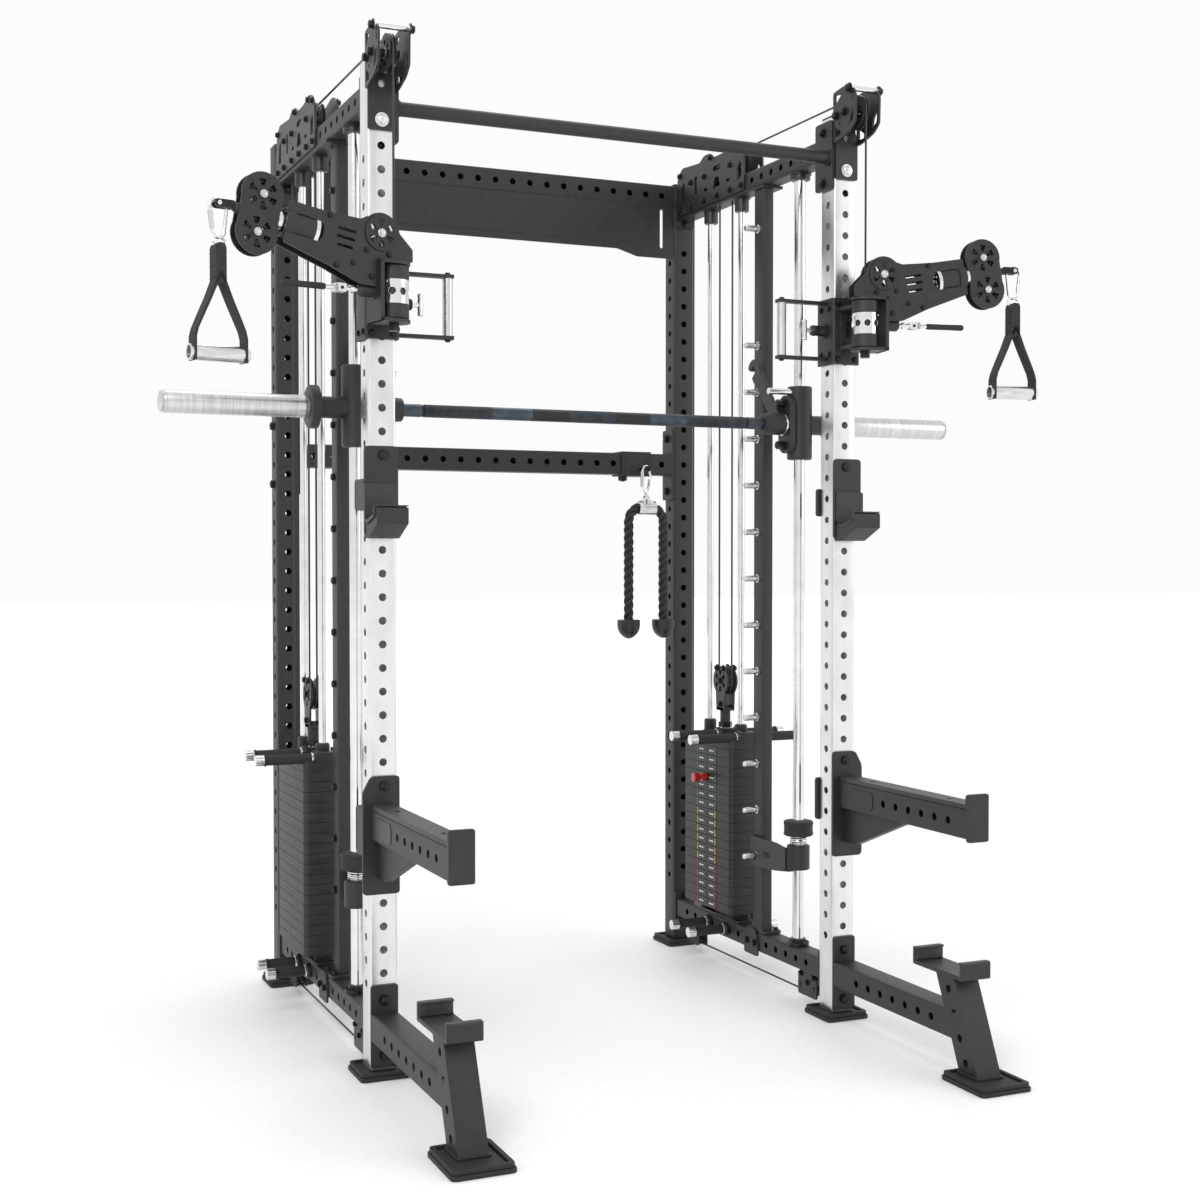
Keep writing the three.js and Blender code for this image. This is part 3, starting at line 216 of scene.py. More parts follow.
barBlack = finish("barBlack", (0.012, 0.012, 0.013), (0.022, 0.022, 0.023), (0.3, 0.42), 0.3,
                  bump=(900, 0.25), pattern=("knurl", "Y", 420, 2.0))
iron = finish("plateIron", (0.012, 0.012, 0.0125), (0.023, 0.023, 0.024), (0.4, 0.6), 0.1,
              grain=(30, 30, 90), bump=(900, 0.15), pattern=("lines", "Z", 33, 0.5))
nylon = finish("blackNylon", (0.009, 0.009, 0.0095), (0.015, 0.015, 0.016), (0.3, 0.45), bump=(500, 0.05))
rubber = finish("blackRubber", (0.008, 0.008, 0.0085), (0.015, 0.015, 0.0155), (0.58, 0.75),
                bump=(1500, 0.25), pattern=("cells", "X", 260, 0.5))
liner = finish("greyLiner", (0.02, 0.02, 0.021), (0.034, 0.034, 0.035), (0.42, 0.55), bump=(1200, 0.12))
boltBlack = finish("blackBolt", (0.013, 0.013, 0.0135), (0.026, 0.026, 0.027), (0.26, 0.4), 0.6,
                   grain=(200, 200, 200), bump=(900, 0.06))
redKnob = finish("redKnob", (0.30, 0.008, 0.010), (0.42, 0.015, 0.016), (0.16, 0.28), bump=(300, 0.03),
                 coat=0.5)
grip = finish("gripAluminium", (0.60, 0.61, 0.62), (0.80, 0.805, 0.81), (0.22, 0.34), 1.0,
              grain=(20, 120, 120), bump=(900, 0.03), pattern=("knurl", "Y", 180, 0.4))
webbing = finish("webbing", (0.012, 0.012, 0.0125), (0.028, 0.028, 0.029), (0.7, 0.86), bump=(1100, 0.4),
                 pattern=("weave", "X", 240, 2.2))
ropeFibre = finish("ropeFibre", (0.007, 0.007, 0.0075), (0.016, 0.016, 0.017), (0.5, 0.7),
                   grain=(200, 200, 60), bump=(1500, 0.3), pattern=("lines", "Z", 300, 0.6))
cableJacket = finish("cableJacket", (0.012, 0.012, 0.0125), (0.022, 0.022, 0.023), (0.25, 0.4),
                     bump=(900, 0.05), pattern=("lines", "Z", 420, 0.5))
white = finish("labelWhite", (0.60, 0.60, 0.60), (0.74, 0.74, 0.74), (0.4, 0.5), bump=(900, 0.02))
green = finish("labelGreen", (0.02, 0.20, 0.08), (0.03, 0.27, 0.11), (0.4, 0.5), bump=(900, 0.02))
amber = finish("labelAmber", (0.55, 0.30, 0.02), (0.66, 0.37, 0.03), (0.4, 0.5), bump=(900, 0.02))
red = finish("labelRed", (0.36, 0.02, 0.02), (0.46, 0.03, 0.03), (0.4, 0.5), bump=(900, 0.02))
print("finishes made")


# shapes, in millimetres from the front faces of the uprights, right-hand side
def circle(a, b, radius, count=24, start=0.0):
    return [(a + radius * math.cos(start + 2 * math.pi * i / count),
             b + radius * math.sin(start + 2 * math.pi * i / count)) for i in range(count)]


def slotHole(a, b, length, width, turn=0.0):
    half = (length - width) / 2
    c, s = math.cos(math.radians(turn)), math.sin(math.radians(turn))
    points = []
    for way in (1, -1):
        for i in range(7):
            angle = math.radians(-90 + 30 * i + (0 if way > 0 else 180))
            x = way * half + width / 2 * math.cos(angle)
            y = width / 2 * math.sin(angle)
            points.append((a + x * c - y * s, b + x * s + y * c))
    return points


def rounded(corners, radius=4, steps=3):
    points = []
    count = len(corners)
    for i, corner in enumerate(corners):
        here = Vector(corner)
        back = Vector(corners[i - 1]) - here
        ahead = Vector(corners[(i + 1) % count]) - here
        cut = min(radius, back.length * 0.45, ahead.length * 0.45)
        a = here + back.normalized() * cut
        b = here + ahead.normalized() * cut
        for k in range(steps + 1):
            t = k / steps
            points.append(tuple((1 - t) ** 2 * a + 2 * t * (1 - t) * here + t ** 2 * b))
    return points


def rectangle(a0, a1, b0, b1, radius=4):
    return rounded([(a0, b0), (a1, b0), (a1, b1), (a0, b1)], radius)


armTurn = math.radians(10)      # the arm at rest, turned forward of sideways, and its head risen as much
armPivot = dict(y=-88, headOut=297, headHigh=1777.5)
outX, outY = math.cos(armTurn), -math.sin(armTurn)


def onSide(a, b, t):           # outline in depth and height, thickness across
    return (t, a, b)


def onFace(a, b, t):           # outline in width and height, thickness in depth
    return (a, t, b)


def onFloor(a, b, t):          # outline in width and depth, thickness in height
    return (a, b, t)


def onArm(a, b, t):            # the resting arm's own plane: outward, up, and towards the front
    return (side + outX * a + outY * t, armPivot["y"] + outY * a - outX * t, b)


def swivel(s, u):
    return (armPivot["headOut"] + s * math.cos(armTurn) - u * math.sin(armTurn),
            armPivot["headHigh"] + s * math.sin(armTurn) + u * math.cos(armTurn))


class Shape:
    def __init__(self):
        self.verts, self.faces, self.marks, self.smooth, self.finishes = [], [], [], [], []

    def add(self, verts, faces, material, smooth=False):
        if material not in self.finishes:
            self.finishes.append(material)
        start = len(self.verts)
        self.verts += [tuple(v) for v in verts]
        for face in faces:
            self.faces.append([start + k for k in face])
            self.marks.append(self.finishes.index(material))
            self.smooth.append(smooth)

    def block(self, x, y, z, material, radius=0.0):
        if radius:
            return self.plate(rectangle(x[0], x[1], y[0], y[1], radius), [], onFloor, z[0], z[1], material)
        verts = [(a, b, c) for a in x for b in y for c in z]
        faces = [(0, 1, 3, 2), (4, 6, 7, 5), (0, 4, 5, 1), (2, 3, 7, 6), (0, 2, 6, 4), (1, 5, 7, 3)]
        self.add(verts, faces, material)

    def plate(self, outline, holes, plane, t0, t1, material, smooth=False):
        loops = [outline, *holes]
        flat = [Vector((p[0], p[1], 0)) for loop in loops for p in loop]
        filled = geometry.tessellate_polygon([[Vector((p[0], p[1], 0)) for p in loop] for loop in loops])
        count = len(flat)
        verts = [plane(p.x, p.y, t0) for p in flat] + [plane(p.x, p.y, t1) for p in flat]
        if holes:
            caps = [list(tri) for tri in filled] + [[k + count for k in reversed(tri)] for tri in filled]
        else:
            caps = [list(range(count)), [k + count for k in reversed(range(count))]]
        walls = []
        start = 0
        for loop in loops:
            size = len(loop)
            for i in range(size):
                j = (i + 1) % size
                walls.append((start + i, start + j, start + j + count, start + i + count))
            start += size
        self.add(verts, caps + walls, material, smooth)

    # profile is (distance from a towards b, radius), open or closed at its ends
    def turned(self, a, b, profile, material, sides=24):
        a, b = Vector(a), Vector(b)
        way = (b - a).normalized()
        across = way.orthogonal().normalized()
        up = way.cross(across)
        verts, faces = [], []
        for along, radius in profile:
            for i in range(sides):
                angle = 2 * math.pi * i / sides
                verts.append(a + way * along + across * radius * math.cos(angle)
                             + up * radius * math.sin(angle))
        for k in range(len(profile) - 1):
            for i in range(sides):
                j = (i + 1) % sides
                faces.append((k * sides + i, k * sides + j, (k + 1) * sides + j, (k + 1) * sides + i))
        last = (len(profile) - 1) * sides
        if profile[0] != profile[-1]:
            faces.append(list(reversed(range(sides))))
            faces.append([last + i for i in range(sides)])
        self.add(verts, faces, material, True)

    def rod(self, a, b, radius, material, sides=20):
        long = (Vector(b) - Vector(a)).length
        edge = min(0.8, radius * 0.2, long * 0.2)
        self.turned(a, b, [(0, radius - edge), (edge, radius), (long - edge, radius),
                           (long, radius - edge)], material, sides)

    def pipe(self, a, b, radius, bore, material, sides=28):
        long = (Vector(b) - Vector(a)).length
        self.turned(a, b, [(0, bore), (0, radius), (long, radius), (long, bore), (0, bore)], material, sides)

    def sweep(self, points, radius, material, sides=10):
        given = [Vector(p) for p in points]
        points = [p for k, p in enumerate(given) if k == 0 or (p - given[k - 1]).length > 1e-4]
        verts, faces = [], []
        across = None
        for k, point in enumerate(points):
            way = (points[min(k + 1, len(points) - 1)] - points[max(k - 1, 0)]).normalized()
            across = way.orthogonal() if across is None else across - way * across.dot(way)
            across.normalize()
            up = way.cross(across)
            for i in range(sides):
                angle = 2 * math.pi * i / sides
                verts.append(point + across * radius * math.cos(angle) + up * radius * math.sin(angle))
        for k in range(len(points) - 1):
            for i in range(sides):
                j = (i + 1) % sides
                faces.append((k * sides + i, k * sides + j, (k + 1) * sides + j, (k + 1) * sides + i))
        last = (len(points) - 1) * sides
        faces += [list(reversed(range(sides))), [last + i for i in range(sides)]]
        self.add(verts, faces, material, True)

    def squareTube(self, x, y, z, along, material, wall=3, corner=5):
        spans = dict(x=x, y=y, z=z)
        a, b = [spans[k] for k in "xyz" if k != along]
        place = dict(x=lambda p, q, t: (t, p, q),
                     y=lambda p, q, t: (p, t, q),
                     z=lambda p, q, t: (p, q, t))[along]
        outer = rectangle(a[0], a[1], b[0], b[1], corner)
        inner = rectangle(a[0] + wall, a[1] - wall, b[0] + wall, b[1] - wall, corner - wall / 2)
        count = len(outer)
        ends = spans[along]
        rings = [outer, inner, inner, outer]
        stops = [ends[0], ends[0], ends[1], ends[1]]
        verts = [place(p[0], p[1], t) for ring, t in zip(rings, stops) for p in ring]
        faces = []
        for k in range(4):
            for i in range(count):
                j = (i + 1) % count
                faces.append((k * count + i, k * count + j, (k + 1) % 4 * count + j, (k + 1) % 4 * count + i))
        self.add(verts, faces, material)

    def build(self, name, flip=False):
        mesh = bpy.data.meshes.new(name)
        way = -1 if flip else 1
        places = [row(way * v[0], v[1], v[2]) for v in self.verts]
        mesh.from_pydata(places, [], self.faces)
        for material in self.finishes:
            mesh.materials.append(material)
        mesh.polygons.foreach_set("material_index", self.marks)
        mesh.polygons.foreach_set("use_smooth", self.smooth)
        tidy = bmesh.new()
        tidy.from_mesh(mesh)
        bmesh.ops.recalc_face_normals(tidy, faces=tidy.faces)
        tidy.to_mesh(mesh)
        tidy.free()
        mesh.set_sharp_from_angle(angle=math.radians(35))
        obj = bpy.data.objects.new(name, mesh)
        bpy.context.collection.objects.link(obj)
        return obj


# node trees
def newTree(name, inputs):
    tree = bpy.data.node_groups.new(name, "GeometryNodeTree")
    tree.interface.new_socket("Geometry", in_out="INPUT", socket_type="NodeSocketGeometry")
    for label, kind, value in inputs:
        socket = tree.interface.new_socket(label, in_out="INPUT", socket_type="NodeSocket" + kind)
        if value is not None:
            socket.default_value = value
    tree.interface.new_socket("Geometry", in_out="OUTPUT", socket_type="NodeSocketGeometry")
    given = tree.nodes.new("NodeGroupInput")
    taken = tree.nodes.new("NodeGroupOutput")
    solid = tree.nodes.new("GeometryNodeRealizeInstances")
    paint = tree.nodes.new("GeometryNodeSetMaterial")
    tree.links.new(solid.outputs["Geometry"], paint.inputs["Geometry"])
    tree.links.new(given.outputs["Material"], paint.inputs["Material"])
    tree.links.new(paint.outputs["Geometry"], taken.inputs["Geometry"])
    return tree, given, solid.inputs["Geometry"]


# cuts a line of round holes
def pinHoleTree():
    tree, given, last = newTree("pinHoles", [
        ("Start", "Vector", None), ("Step", "Vector", None), ("Count", "Int", 10),
        ("Radius", "Float", 0.0085),
        ("Depth", "Float", 0.08), ("Turn", "Vector", None), ("Material", "Material", None)])
    line = tree.nodes.new("GeometryNodeMeshLine")
    line.mode = "OFFSET"
    drill = tree.nodes.new("GeometryNodeMeshCylinder")
    drill.inputs["Vertices"].default_value = 20
    copies = tree.nodes.new("GeometryNodeInstanceOnPoints")
    drills = tree.nodes.new("GeometryNodeRealizeInstances")
    cut = tree.nodes.new("GeometryNodeMeshBoolean")
    cut.operation = "DIFFERENCE"
    link = tree.links.new
    link(given.outputs["Start"], line.inputs["Start Location"])
    link(given.outputs["Step"], line.inputs["Offset"])
    link(given.outputs["Count"], line.inputs["Count"])
    link(given.outputs["Radius"], drill.inputs["Radius"])
    link(given.outputs["Depth"], drill.inputs["Depth"])
    link(line.outputs["Mesh"], copies.inputs["Points"])
    link(drill.outputs["Mesh"], copies.inputs["Instance"])
    link(given.outputs["Turn"], copies.inputs["Rotation"])
    link(copies.outputs["Instances"], drills.inputs["Geometry"])
    link(given.outputs["Geometry"], cut.inputs["Mesh 1"])
    link(drills.outputs["Geometry"], cut.inputs["Mesh 2"])
    link(cut.outputs["Mesh"], last)
    return tree


# puts a head on a washer at each point, facing along the point's attribute
def boltTree():
    tree, given, last = newTree("boltHeads", [
        ("Sides", "Int", 6), ("Radius", "Float", 0.009), ("Height", "Float", 0.007),
        ("Washer", "Float", 0.012), ("Material", "Material", None)])
    link = tree.links.new
    facing = tree.nodes.new("GeometryNodeInputNamedAttribute")
    facing.data_type = "FLOAT_VECTOR"
    facing.inputs["Name"].default_value = "facing"
    aim = tree.nodes.new("FunctionNodeAlignRotationToVector")
    aim.axis = "Z"
    link(facing.outputs["Attribute"], aim.inputs["Vector"])
    head = tree.nodes.new("GeometryNodeMeshCylinder")
    link(given.outputs["Sides"], head.inputs["Vertices"])
    link(given.outputs["Radius"], head.inputs["Radius"])
    link(given.outputs["Height"], head.inputs["Depth"])
    ring = tree.nodes.new("GeometryNodeMeshCylinder")
    ring.inputs["Vertices"].default_value = 20
    ring.inputs["Depth"].default_value = 0.002
    link(given.outputs["Washer"], ring.inputs["Radius"])
    dome = tree.nodes.new("GeometryNodeMeshUVSphere")
    dome.inputs["Segments"].default_value = 12
    dome.inputs["Rings"].default_value = 6
    link(given.outputs["Radius"], dome.inputs["Radius"])
    lift = tree.nodes.new("ShaderNodeMath")
    lift.operation = "MULTIPLY"
    lift.inputs[1].default_value = 0.5
    link(given.outputs["Height"], lift.inputs[0])
    up = tree.nodes.new("ShaderNodeCombineXYZ")
    link(lift.outputs["Value"], up.inputs["Z"])
    moved = tree.nodes.new("GeometryNodeTransform")
    link(head.outputs["Mesh"], moved.inputs["Geometry"])
    link(up.outputs["Vector"], moved.inputs["Translation"])
    flat = tree.nodes.new("GeometryNodeTransform")
    top = tree.nodes.new("ShaderNodeCombineXYZ")
    link(given.outputs["Height"], top.inputs["Z"])
    link(dome.outputs["Mesh"], flat.inputs["Geometry"])
    link(top.outputs["Vector"], flat.inputs["Translation"])
    flat.inputs["Scale"].default_value = (0.86, 0.86, 0.22)
    both = tree.nodes.new("GeometryNodeJoinGeometry")
    link(moved.outputs["Geometry"], both.inputs["Geometry"])
    link(ring.outputs["Mesh"], both.inputs["Geometry"])
    link(flat.outputs["Geometry"], both.inputs["Geometry"])
    copies = tree.nodes.new("GeometryNodeInstanceOnPoints")
    link(given.outputs["Geometry"], copies.inputs["Points"])
    link(both.outputs["Geometry"], copies.inputs["Instance"])
    link(aim.outputs["Rotation"], copies.inputs["Rotation"])
    link(copies.outputs["Instances"], last)
    return tree


# copies a piece along a straight line
def repeatTree():
    tree, given, last = newTree("repeatAlong", [
        ("Step", "Vector", None), ("Count", "Int", 4), ("Material", "Material", None)])
    link = tree.links.new
    line = tree.nodes.new("GeometryNodeMeshLine")
    line.mode = "OFFSET"
    copies = tree.nodes.new("GeometryNodeInstanceOnPoints")
    link(given.outputs["Step"], line.inputs["Offset"])
    link(given.outputs["Count"], line.inputs["Count"])
    link(line.outputs["Mesh"], copies.inputs["Points"])
    link(given.outputs["Geometry"], copies.inputs["Instance"])
    link(copies.outputs["Instances"], last)
    return tree


pinHoles, boltHeads, repeatAlong = pinHoleTree(), boltTree(), repeatTree()


def runTree(obj, tree, values):
    modifier = obj.modifiers.new("tree", "NODES")
    modifier.node_group = tree
    for item in tree.interface.items_tree:
        if item.in_out == "INPUT" and item.name in values:
            modifier[item.identifier] = values[item.name]
    made = bpy.data.meshes.new_from_object(obj.evaluated_get(bpy.context.evaluated_depsgraph_get()))
    obj.modifiers.clear()
    obj.data = made
    return obj


# putting pieces on bodies
fixedBodies = ("frame", "smith_carriages", "smith_bar", "rope")


def settle(obj, body, nodes, bevel=0.0):
    if bevel:
        edge = obj.modifiers.new("edge", "BEVEL")
        edge.width = bevel / 1000
        edge.segments = 2
        edge.limit_method = "ANGLE"
        edge.angle_limit = math.radians(50)
        edge.harden_normals = False
    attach(obj, body)
    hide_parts(*nodes)


# holes are (first, step, count, axis, radius, depth) rows on the right-hand side
def drill(obj, holes, way, material):
    turns = dict(x=(0, math.pi / 2, 0), y=(math.pi / 2, 0, 0), z=(0, 0, 0))
    for start, step, count, axis, radius, depth in holes:
        runTree(obj, pinHoles, {
            "Start": row(way * start[0], start[1], start[2]),
            "Step": Vector((way * step[0], step[1], step[2])) / 1000,
            "Count": count, "Radius": radius / 1000, "Depth": depth / 1000,
            "Turn": turns[axis], "Material": material})


def pair(shape, name, body, node, bevel=0.0, holes=(), repeat=None):
    for mark, flip in (("r", False), ("l", True)):
        obj = shape.build(f"{name}_{mark}", flip)
        way = -1 if flip else 1
        drill(obj, holes, way, shape.finishes[0])
        if repeat:
            step, count = repeat
            runTree(obj, repeatAlong, {
                "Step": Vector((way * step[0], step[1], step[2])) / 1000,
                "Count": count, "Material": shape.finishes[0]})
        settle(obj, body if body in fixedBodies else f"{body}_{mark}", [f"{node}_{mark}"], bevel)


def single(shape, name, body, node, bevel=0.0, holes=()):
    obj = shape.build(name)
    drill(obj, holes, 1, shape.finishes[0])
    settle(obj, body, [node], bevel)


# points are (place, facing) pairs of the right-hand side
def bolts(name, body, node, points, radius=9.0, height=7.0, washer=12.0, sides=6, material=None,
          both=True):
    for mark, way in (("r", 1), ("l", -1)) if both else (("", 1),):
        label = f"{name}_{mark}" if mark else name
        mesh = bpy.data.meshes.new(label)
        mesh.from_pydata([row(way * p[0], p[1], p[2]) for p, n in points], [], [])
        facing = mesh.attributes.new("facing", "FLOAT_VECTOR", "POINT")
        for k, (p, n) in enumerate(points):
            facing.data[k].vector = (way * n[0], n[1], n[2])
        obj = bpy.data.objects.new(label, mesh)
        bpy.context.collection.objects.link(obj)
        runTree(obj, boltHeads, {"Sides": sides, "Radius": radius / 1000, "Height": height / 1000,
                                 "Washer": washer / 1000, "Material": material or boltBlack})
        rider = body if body in fixedBodies or not mark else f"{body}_{mark}"
        settle(obj, rider, [f"{node}_{mark}" if mark else node])


outside, inside, toFront, toRear, upward, downward = (1, 0, 0), (-1, 0, 0), (0, -1, 0), (0, 1, 0), (0, 0,
        1), (0, 0, -1)


# rope handle: the free cord of the object
ropeSpec = dict(x=434, y=819, half=53.5, thick=28, bend=40, top=1248.4, end=930, pitch=66, strand=7.0)


def ropeRoute(step=4):
    r = ropeSpec
    left, right = r["x"] - r["half"], r["x"] + r["half"]
    corner = r["top"] - r["bend"]
    points = []
    count = int((corner - r["end"]) / step)
    points += [(left, r["y"], r["end"] + (corner - r["end"]) * i / count) for i in range(count)]
    arc = [math.pi / 2 * i / 8 for i in range(9)]
    points += [(left + r["bend"] * (1 - math.cos(a)), r["y"], corner + r["bend"] * math.sin(a)) for a in arc]
    points += [(right - r["bend"] * (1 - math.cos(a)), r["y"], corner + r["bend"] * math.sin(a))
               for a in reversed(arc)]
    points += [(right, r["y"], corner - (corner - r["end"]) * i / count) for i in range(1, count + 1)]
    return points


def makeRope():
    r = ropeSpec
    points = [Vector(p) for p in ropeRoute()]
    shape = Shape()
    travelled = [0.0]
    for a, b in zip(points, points[1:]):
        travelled.append(travelled[-1] + (b - a).length)
    for strand in range(3):
        line = []
        for k, point in enumerate(points):
            way = (points[min(k + 1, len(points) - 1)] - points[max(k - 1, 0)]).normalized()
            across = Vector((0, 1, 0))
            up = way.cross(across)
            angle = 2 * math.pi * (travelled[k] / r["pitch"] + strand / 3)
            out = across * math.cos(angle) + up * math.sin(angle)
            line.append(point + out * (r["thick"] / 2 - r["strand"]))
        shape.sweep(line, r["strand"], ropeFibre, 10)
    rope = shape.build("ropeStrands")
    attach(rope, "rope")
    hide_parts("rope_handle")
    ends = Shape()
    for x in (r["x"] - r["half"], r["x"] + r["half"]):
        ends.turned((x, r["y"], r["end"] + 4), (x, r["y"], r["end"] - 50),
                    [(0, 30), (1.5, 32), (18, 32), (28, 30), (38, 25), (46, 17), (51, 9), (53, 3)], nylon, 32)
    balls = ends.build("ropeBalls")
    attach(balls, "rope")
    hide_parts("rope_handle")
    path = [tuple(row(*p)) for p in ropeRoute()]
    clip = Shape()
    x, y = r["x"], r["y"]
    loop = []
    for k in range(41):
        angle = 2 * math.pi * k / 40
        loop.append((x + (13 if math.sin(angle) > 0 else 10) * math.cos(angle), y,
                     1328.5 + 36 * math.sin(angle)))
    clip.sweep(loop, 4, chrome, 10)
    clip.pipe((x - 12, y, 1305), (x - 12, y, 1348), 5.2, 3.9, satin, 16)
    clip.turned((x, y, 1262), (x, y, 1298), [(0, 9), (4, 10), (14, 10), (18, 6), (30, 6), (36, 4)], chrome,
                20)
    clip.pipe((x - 26, y, 1246), (x + 26, y, 1246), 20, 14.4, chrome, 28)
    clip.plate(rectangle(x - 15, x + 15, y - 19, y + 19, 5), [], onFloor, 1258, 1269, chrome)
    single(clip, "ropeClip", "rope", "rope_clamp")
    print("rope handle made")


makeRope()


# uprights with their pin holes and feet
upright = dict(wide=60, frontTop=2157, rearTop=2167, pitch=50, frontRow=1971.9, sideRow=1946.9, count=36,
               pin=8.5)


def makeFoot(shape, x, y, long, wide=114, hub=rubber):
    x0, x1, y0, y1 = x - wide / 2, x + wide / 2, y - long / 2, y + long / 2
    shape.plate(rectangle(x0, x1, y0, y1, 12), [], onFloor, 0, 9, hub)
    shape.plate(rectangle(x0 + 3, x1 - 3, y0 + 3, y1 - 3, 11),
                [rectangle(x0 + 13, x1 - 13, y0 + 13, y1 - 13, 6)], onFloor, 9, 18, hub)
    shape.plate(rectangle(x0 + 15, x1 - 15, y0 + 15, y1 - 15, 5), [], onFloor, 8, 14, hub)


def makeUprights():
    u = upright
    low = u["count"] - 1
    for name, node, y, top, material, slot in (("frontPost", "front_upright", 0, u["frontTop"], zinc, "zinc"),
                                               ("rearPost", "rear_upright", 855, u["rearTop"], coat,
                                                "black_coat")):
        post = Shape()
        post.squareTube((540, 600), (y, y + 60), (16, top - 4), "z", material)
        rows = [((side, y + 30, u["frontRow"] - low * u["pitch"]), (0, 0, u["pitch"]), u["count"], "y",
                 u["pin"], 90),
                ((side, y + 30, u["sideRow"] - low * u["pitch"]), (0, 0, u["pitch"]), u["count"], "x",
                 u["pin"], 90)]
        pair(post, name, "frame", node, 0.0, rows)
        ends = Shape()
        makeFoot(ends, side, y + 30, 118)
        ends.plate(rectangle(539.5, 600.5, y - 0.5, y + 60.5, 6), [], onFloor, top - 5, top, nylon)
        pair(ends, name + "Ends", "frame", node, 1.2)
    print("uprights made")


makeUprights()


# side beams, crossmembers and pull-up bar
beams = dict(x=(545, 595), y=(60.5, 854.5), low=(82, 132), high=(2062, 2112), holePitch=50, hole=8.5)


def makeBeams():
    b = beams
    for name, node, z, start in (("lowBeam", "base_beam", b["low"], 130),
                                 ("highBeam", "top_beam", b["high"], 114)):
        tube = Shape()
        tube.squareTube(b["x"], b["y"], z, "y", coat, corner=6)
        mid = (z[0] + z[1]) / 2
        pair(tube, name, "frame", node, 0.0,
             [((side, start, mid), (0, b["holePitch"], 0), 14, "x", b["hole"], 80)])
        plates = Shape()
        for y0, y1 in ((60.5, 67), (848, 854.5)):
            out = 18
            plates.plate(rectangle(541, 599, z[0] - out, z[1] + out, 6), [], onFace, y0, y1, coat)
        pair(plates, name + "Flanges", "frame", node, 0.8)
        spots = [((x, y, mid + dz), n) for y, n in ((67, toRear), (848, toFront)) for x in (side,)
                 for dz in (-34, 34)]
        bolts(name + "Bolts", "frame", node, spots, 7.5, 6, 10)
    joint = Shape()
    gusset = rounded([(366, 70), (438, 70), (438, 104), (424, 140), (380, 140), (366, 104)], 8)
    joint.plate(gusset, [], onSide, 595, 600, coat)
    joint.plate(gusset, [], onSide, 540, 545, coat)
    pair(joint, "lowJoint", "frame", "base_beam", 0.8)
    bolts("lowJointBolts", "frame", "base_beam",
          [((x, y, 104), n) for x, n in ((600, outside), (540, inside)) for y in (382, 422)], 8, 7, 11)
    print("beams made")


def makeCrossmembers():
    top = Shape()
    top.squareTube((-539.7, 539.7), (855, 915), (2101, 2161), "x", coat)
    single(top, "rearTop", "frame", "rear_top_crossmember", 0.0,
           [((-500, 885, 2130), (50, 0, 0), 21, "y", 8.5, 90)])
    board = Shape()
    outline = [(-538, 1955), (-425, 1955), (-364, 1973), (364, 1973), (425, 1955), (538, 1955), (538, 2102),
               (-538, 2102)]
    slots = [rectangle(x - 5, x + 5, 1983, 2094, 4) for x in (-500, 500)]
    board.plate(rounded(outline, 5), slots, onFace, 857, 862, coat)
    inset = rounded([(-330, 1992), (330, 1992), (345, 2004), (345, 2074), (330, 2086), (-330, 2086),
                     (-345, 2074), (-345, 2004)], 8)
    board.plate(inset, [], onFace, 855.8, 857.5, laser)
    single(board, "rearBoard", "frame", "rear_top_crossmember", 0.8)
    mid = Shape()
    mid.squareTube((-531.7, 531.7), (855, 915), (1341.5, 1401.5), "x", coat)
    single(mid, "rearMid", "frame", "rear_mid_crossmember", 0.0,
           [((-500, 885, 1371.5), (50, 0, 0), 21, "y", 8.5, 90)])
    ends = Shape()
    for way in (-1, 1):
        x = sorted((way * 532, way * 539.7))
        ends.plate(rectangle(855, 915, 1272, 1471, 8), [], onSide, x[0], x[1], coat)
    for y0, y1, z0, z1 in ((851, 855, 1337.5, 1405.5), (915, 919, 1337.5, 1405.5)):
        ends.block((374, 464), (y0, y1), (z0, z1), coat)
    for z0, z1 in ((1337.5, 1341.5), (1401.5, 1405.5)):
        ends.block((374, 464), (855, 915), (z0, z1), coat)
    for x in (380, 458):
        ends.block((x - 6, x + 6), (850, 851), (1337.5, 1405.5), nylon)
    ends.turned((392, 885, 1337.5), (392, 885, 1322), [(0, 13), (11, 13), (13, 11), (13.5, 6), (15, 5)],
                boltBlack, 6)
    ends.rod((434, 852, 1355.5), (434, 806, 1355.5), 5, boltBlack)
    ends.turned((434, 808, 1355.5), (434, 803, 1355.5), [(0, 7), (1, 8), (4, 8), (5, 7)], boltBlack)
    single(ends, "rearMidEnds", "frame", "rear_mid_crossmember", 0.8)
    spots = []
    for way in (-1, 1):
        for z in (1446.9, 1296.9):
            spots += [((way * 532, 885, z), (-way, 0, 0)), ((way * 600, 885, z), (way, 0, 0))]
    bolts("rearMidBolts", "frame", "rear_mid_crossmember", spots, 10, 9, 14, both=False)
    bar = Shape()
    bar.rod((-532, 18, 2057), (532, 18, 2057), 15.5, coat, 32)
    for way in (-1, 1):
        x = sorted((way * 531, way * 539.7))
        bar.plate(rectangle(0, 74, 1982, 2143, 9), [], onSide, x[0], x[1], coat)
        bar.pipe((way * 531, 18, 2057), (way * 526, 18, 2057), 19, 15.6, coat, 32)
    single(bar, "pullUpBar", "frame", "pull_up_bar", 0.8)
    spots = [((way * 531, y, z), (-way, 0, 0)) for way in (-1, 1) for y, z in ((40, 2120), (40, 2000))]
    bolts("pullUpBolts", "frame", "pull_up_bar", spots, 10, 8, 14, both=False)
    print("crossmembers made")


makeBeams()
makeCrossmembers()


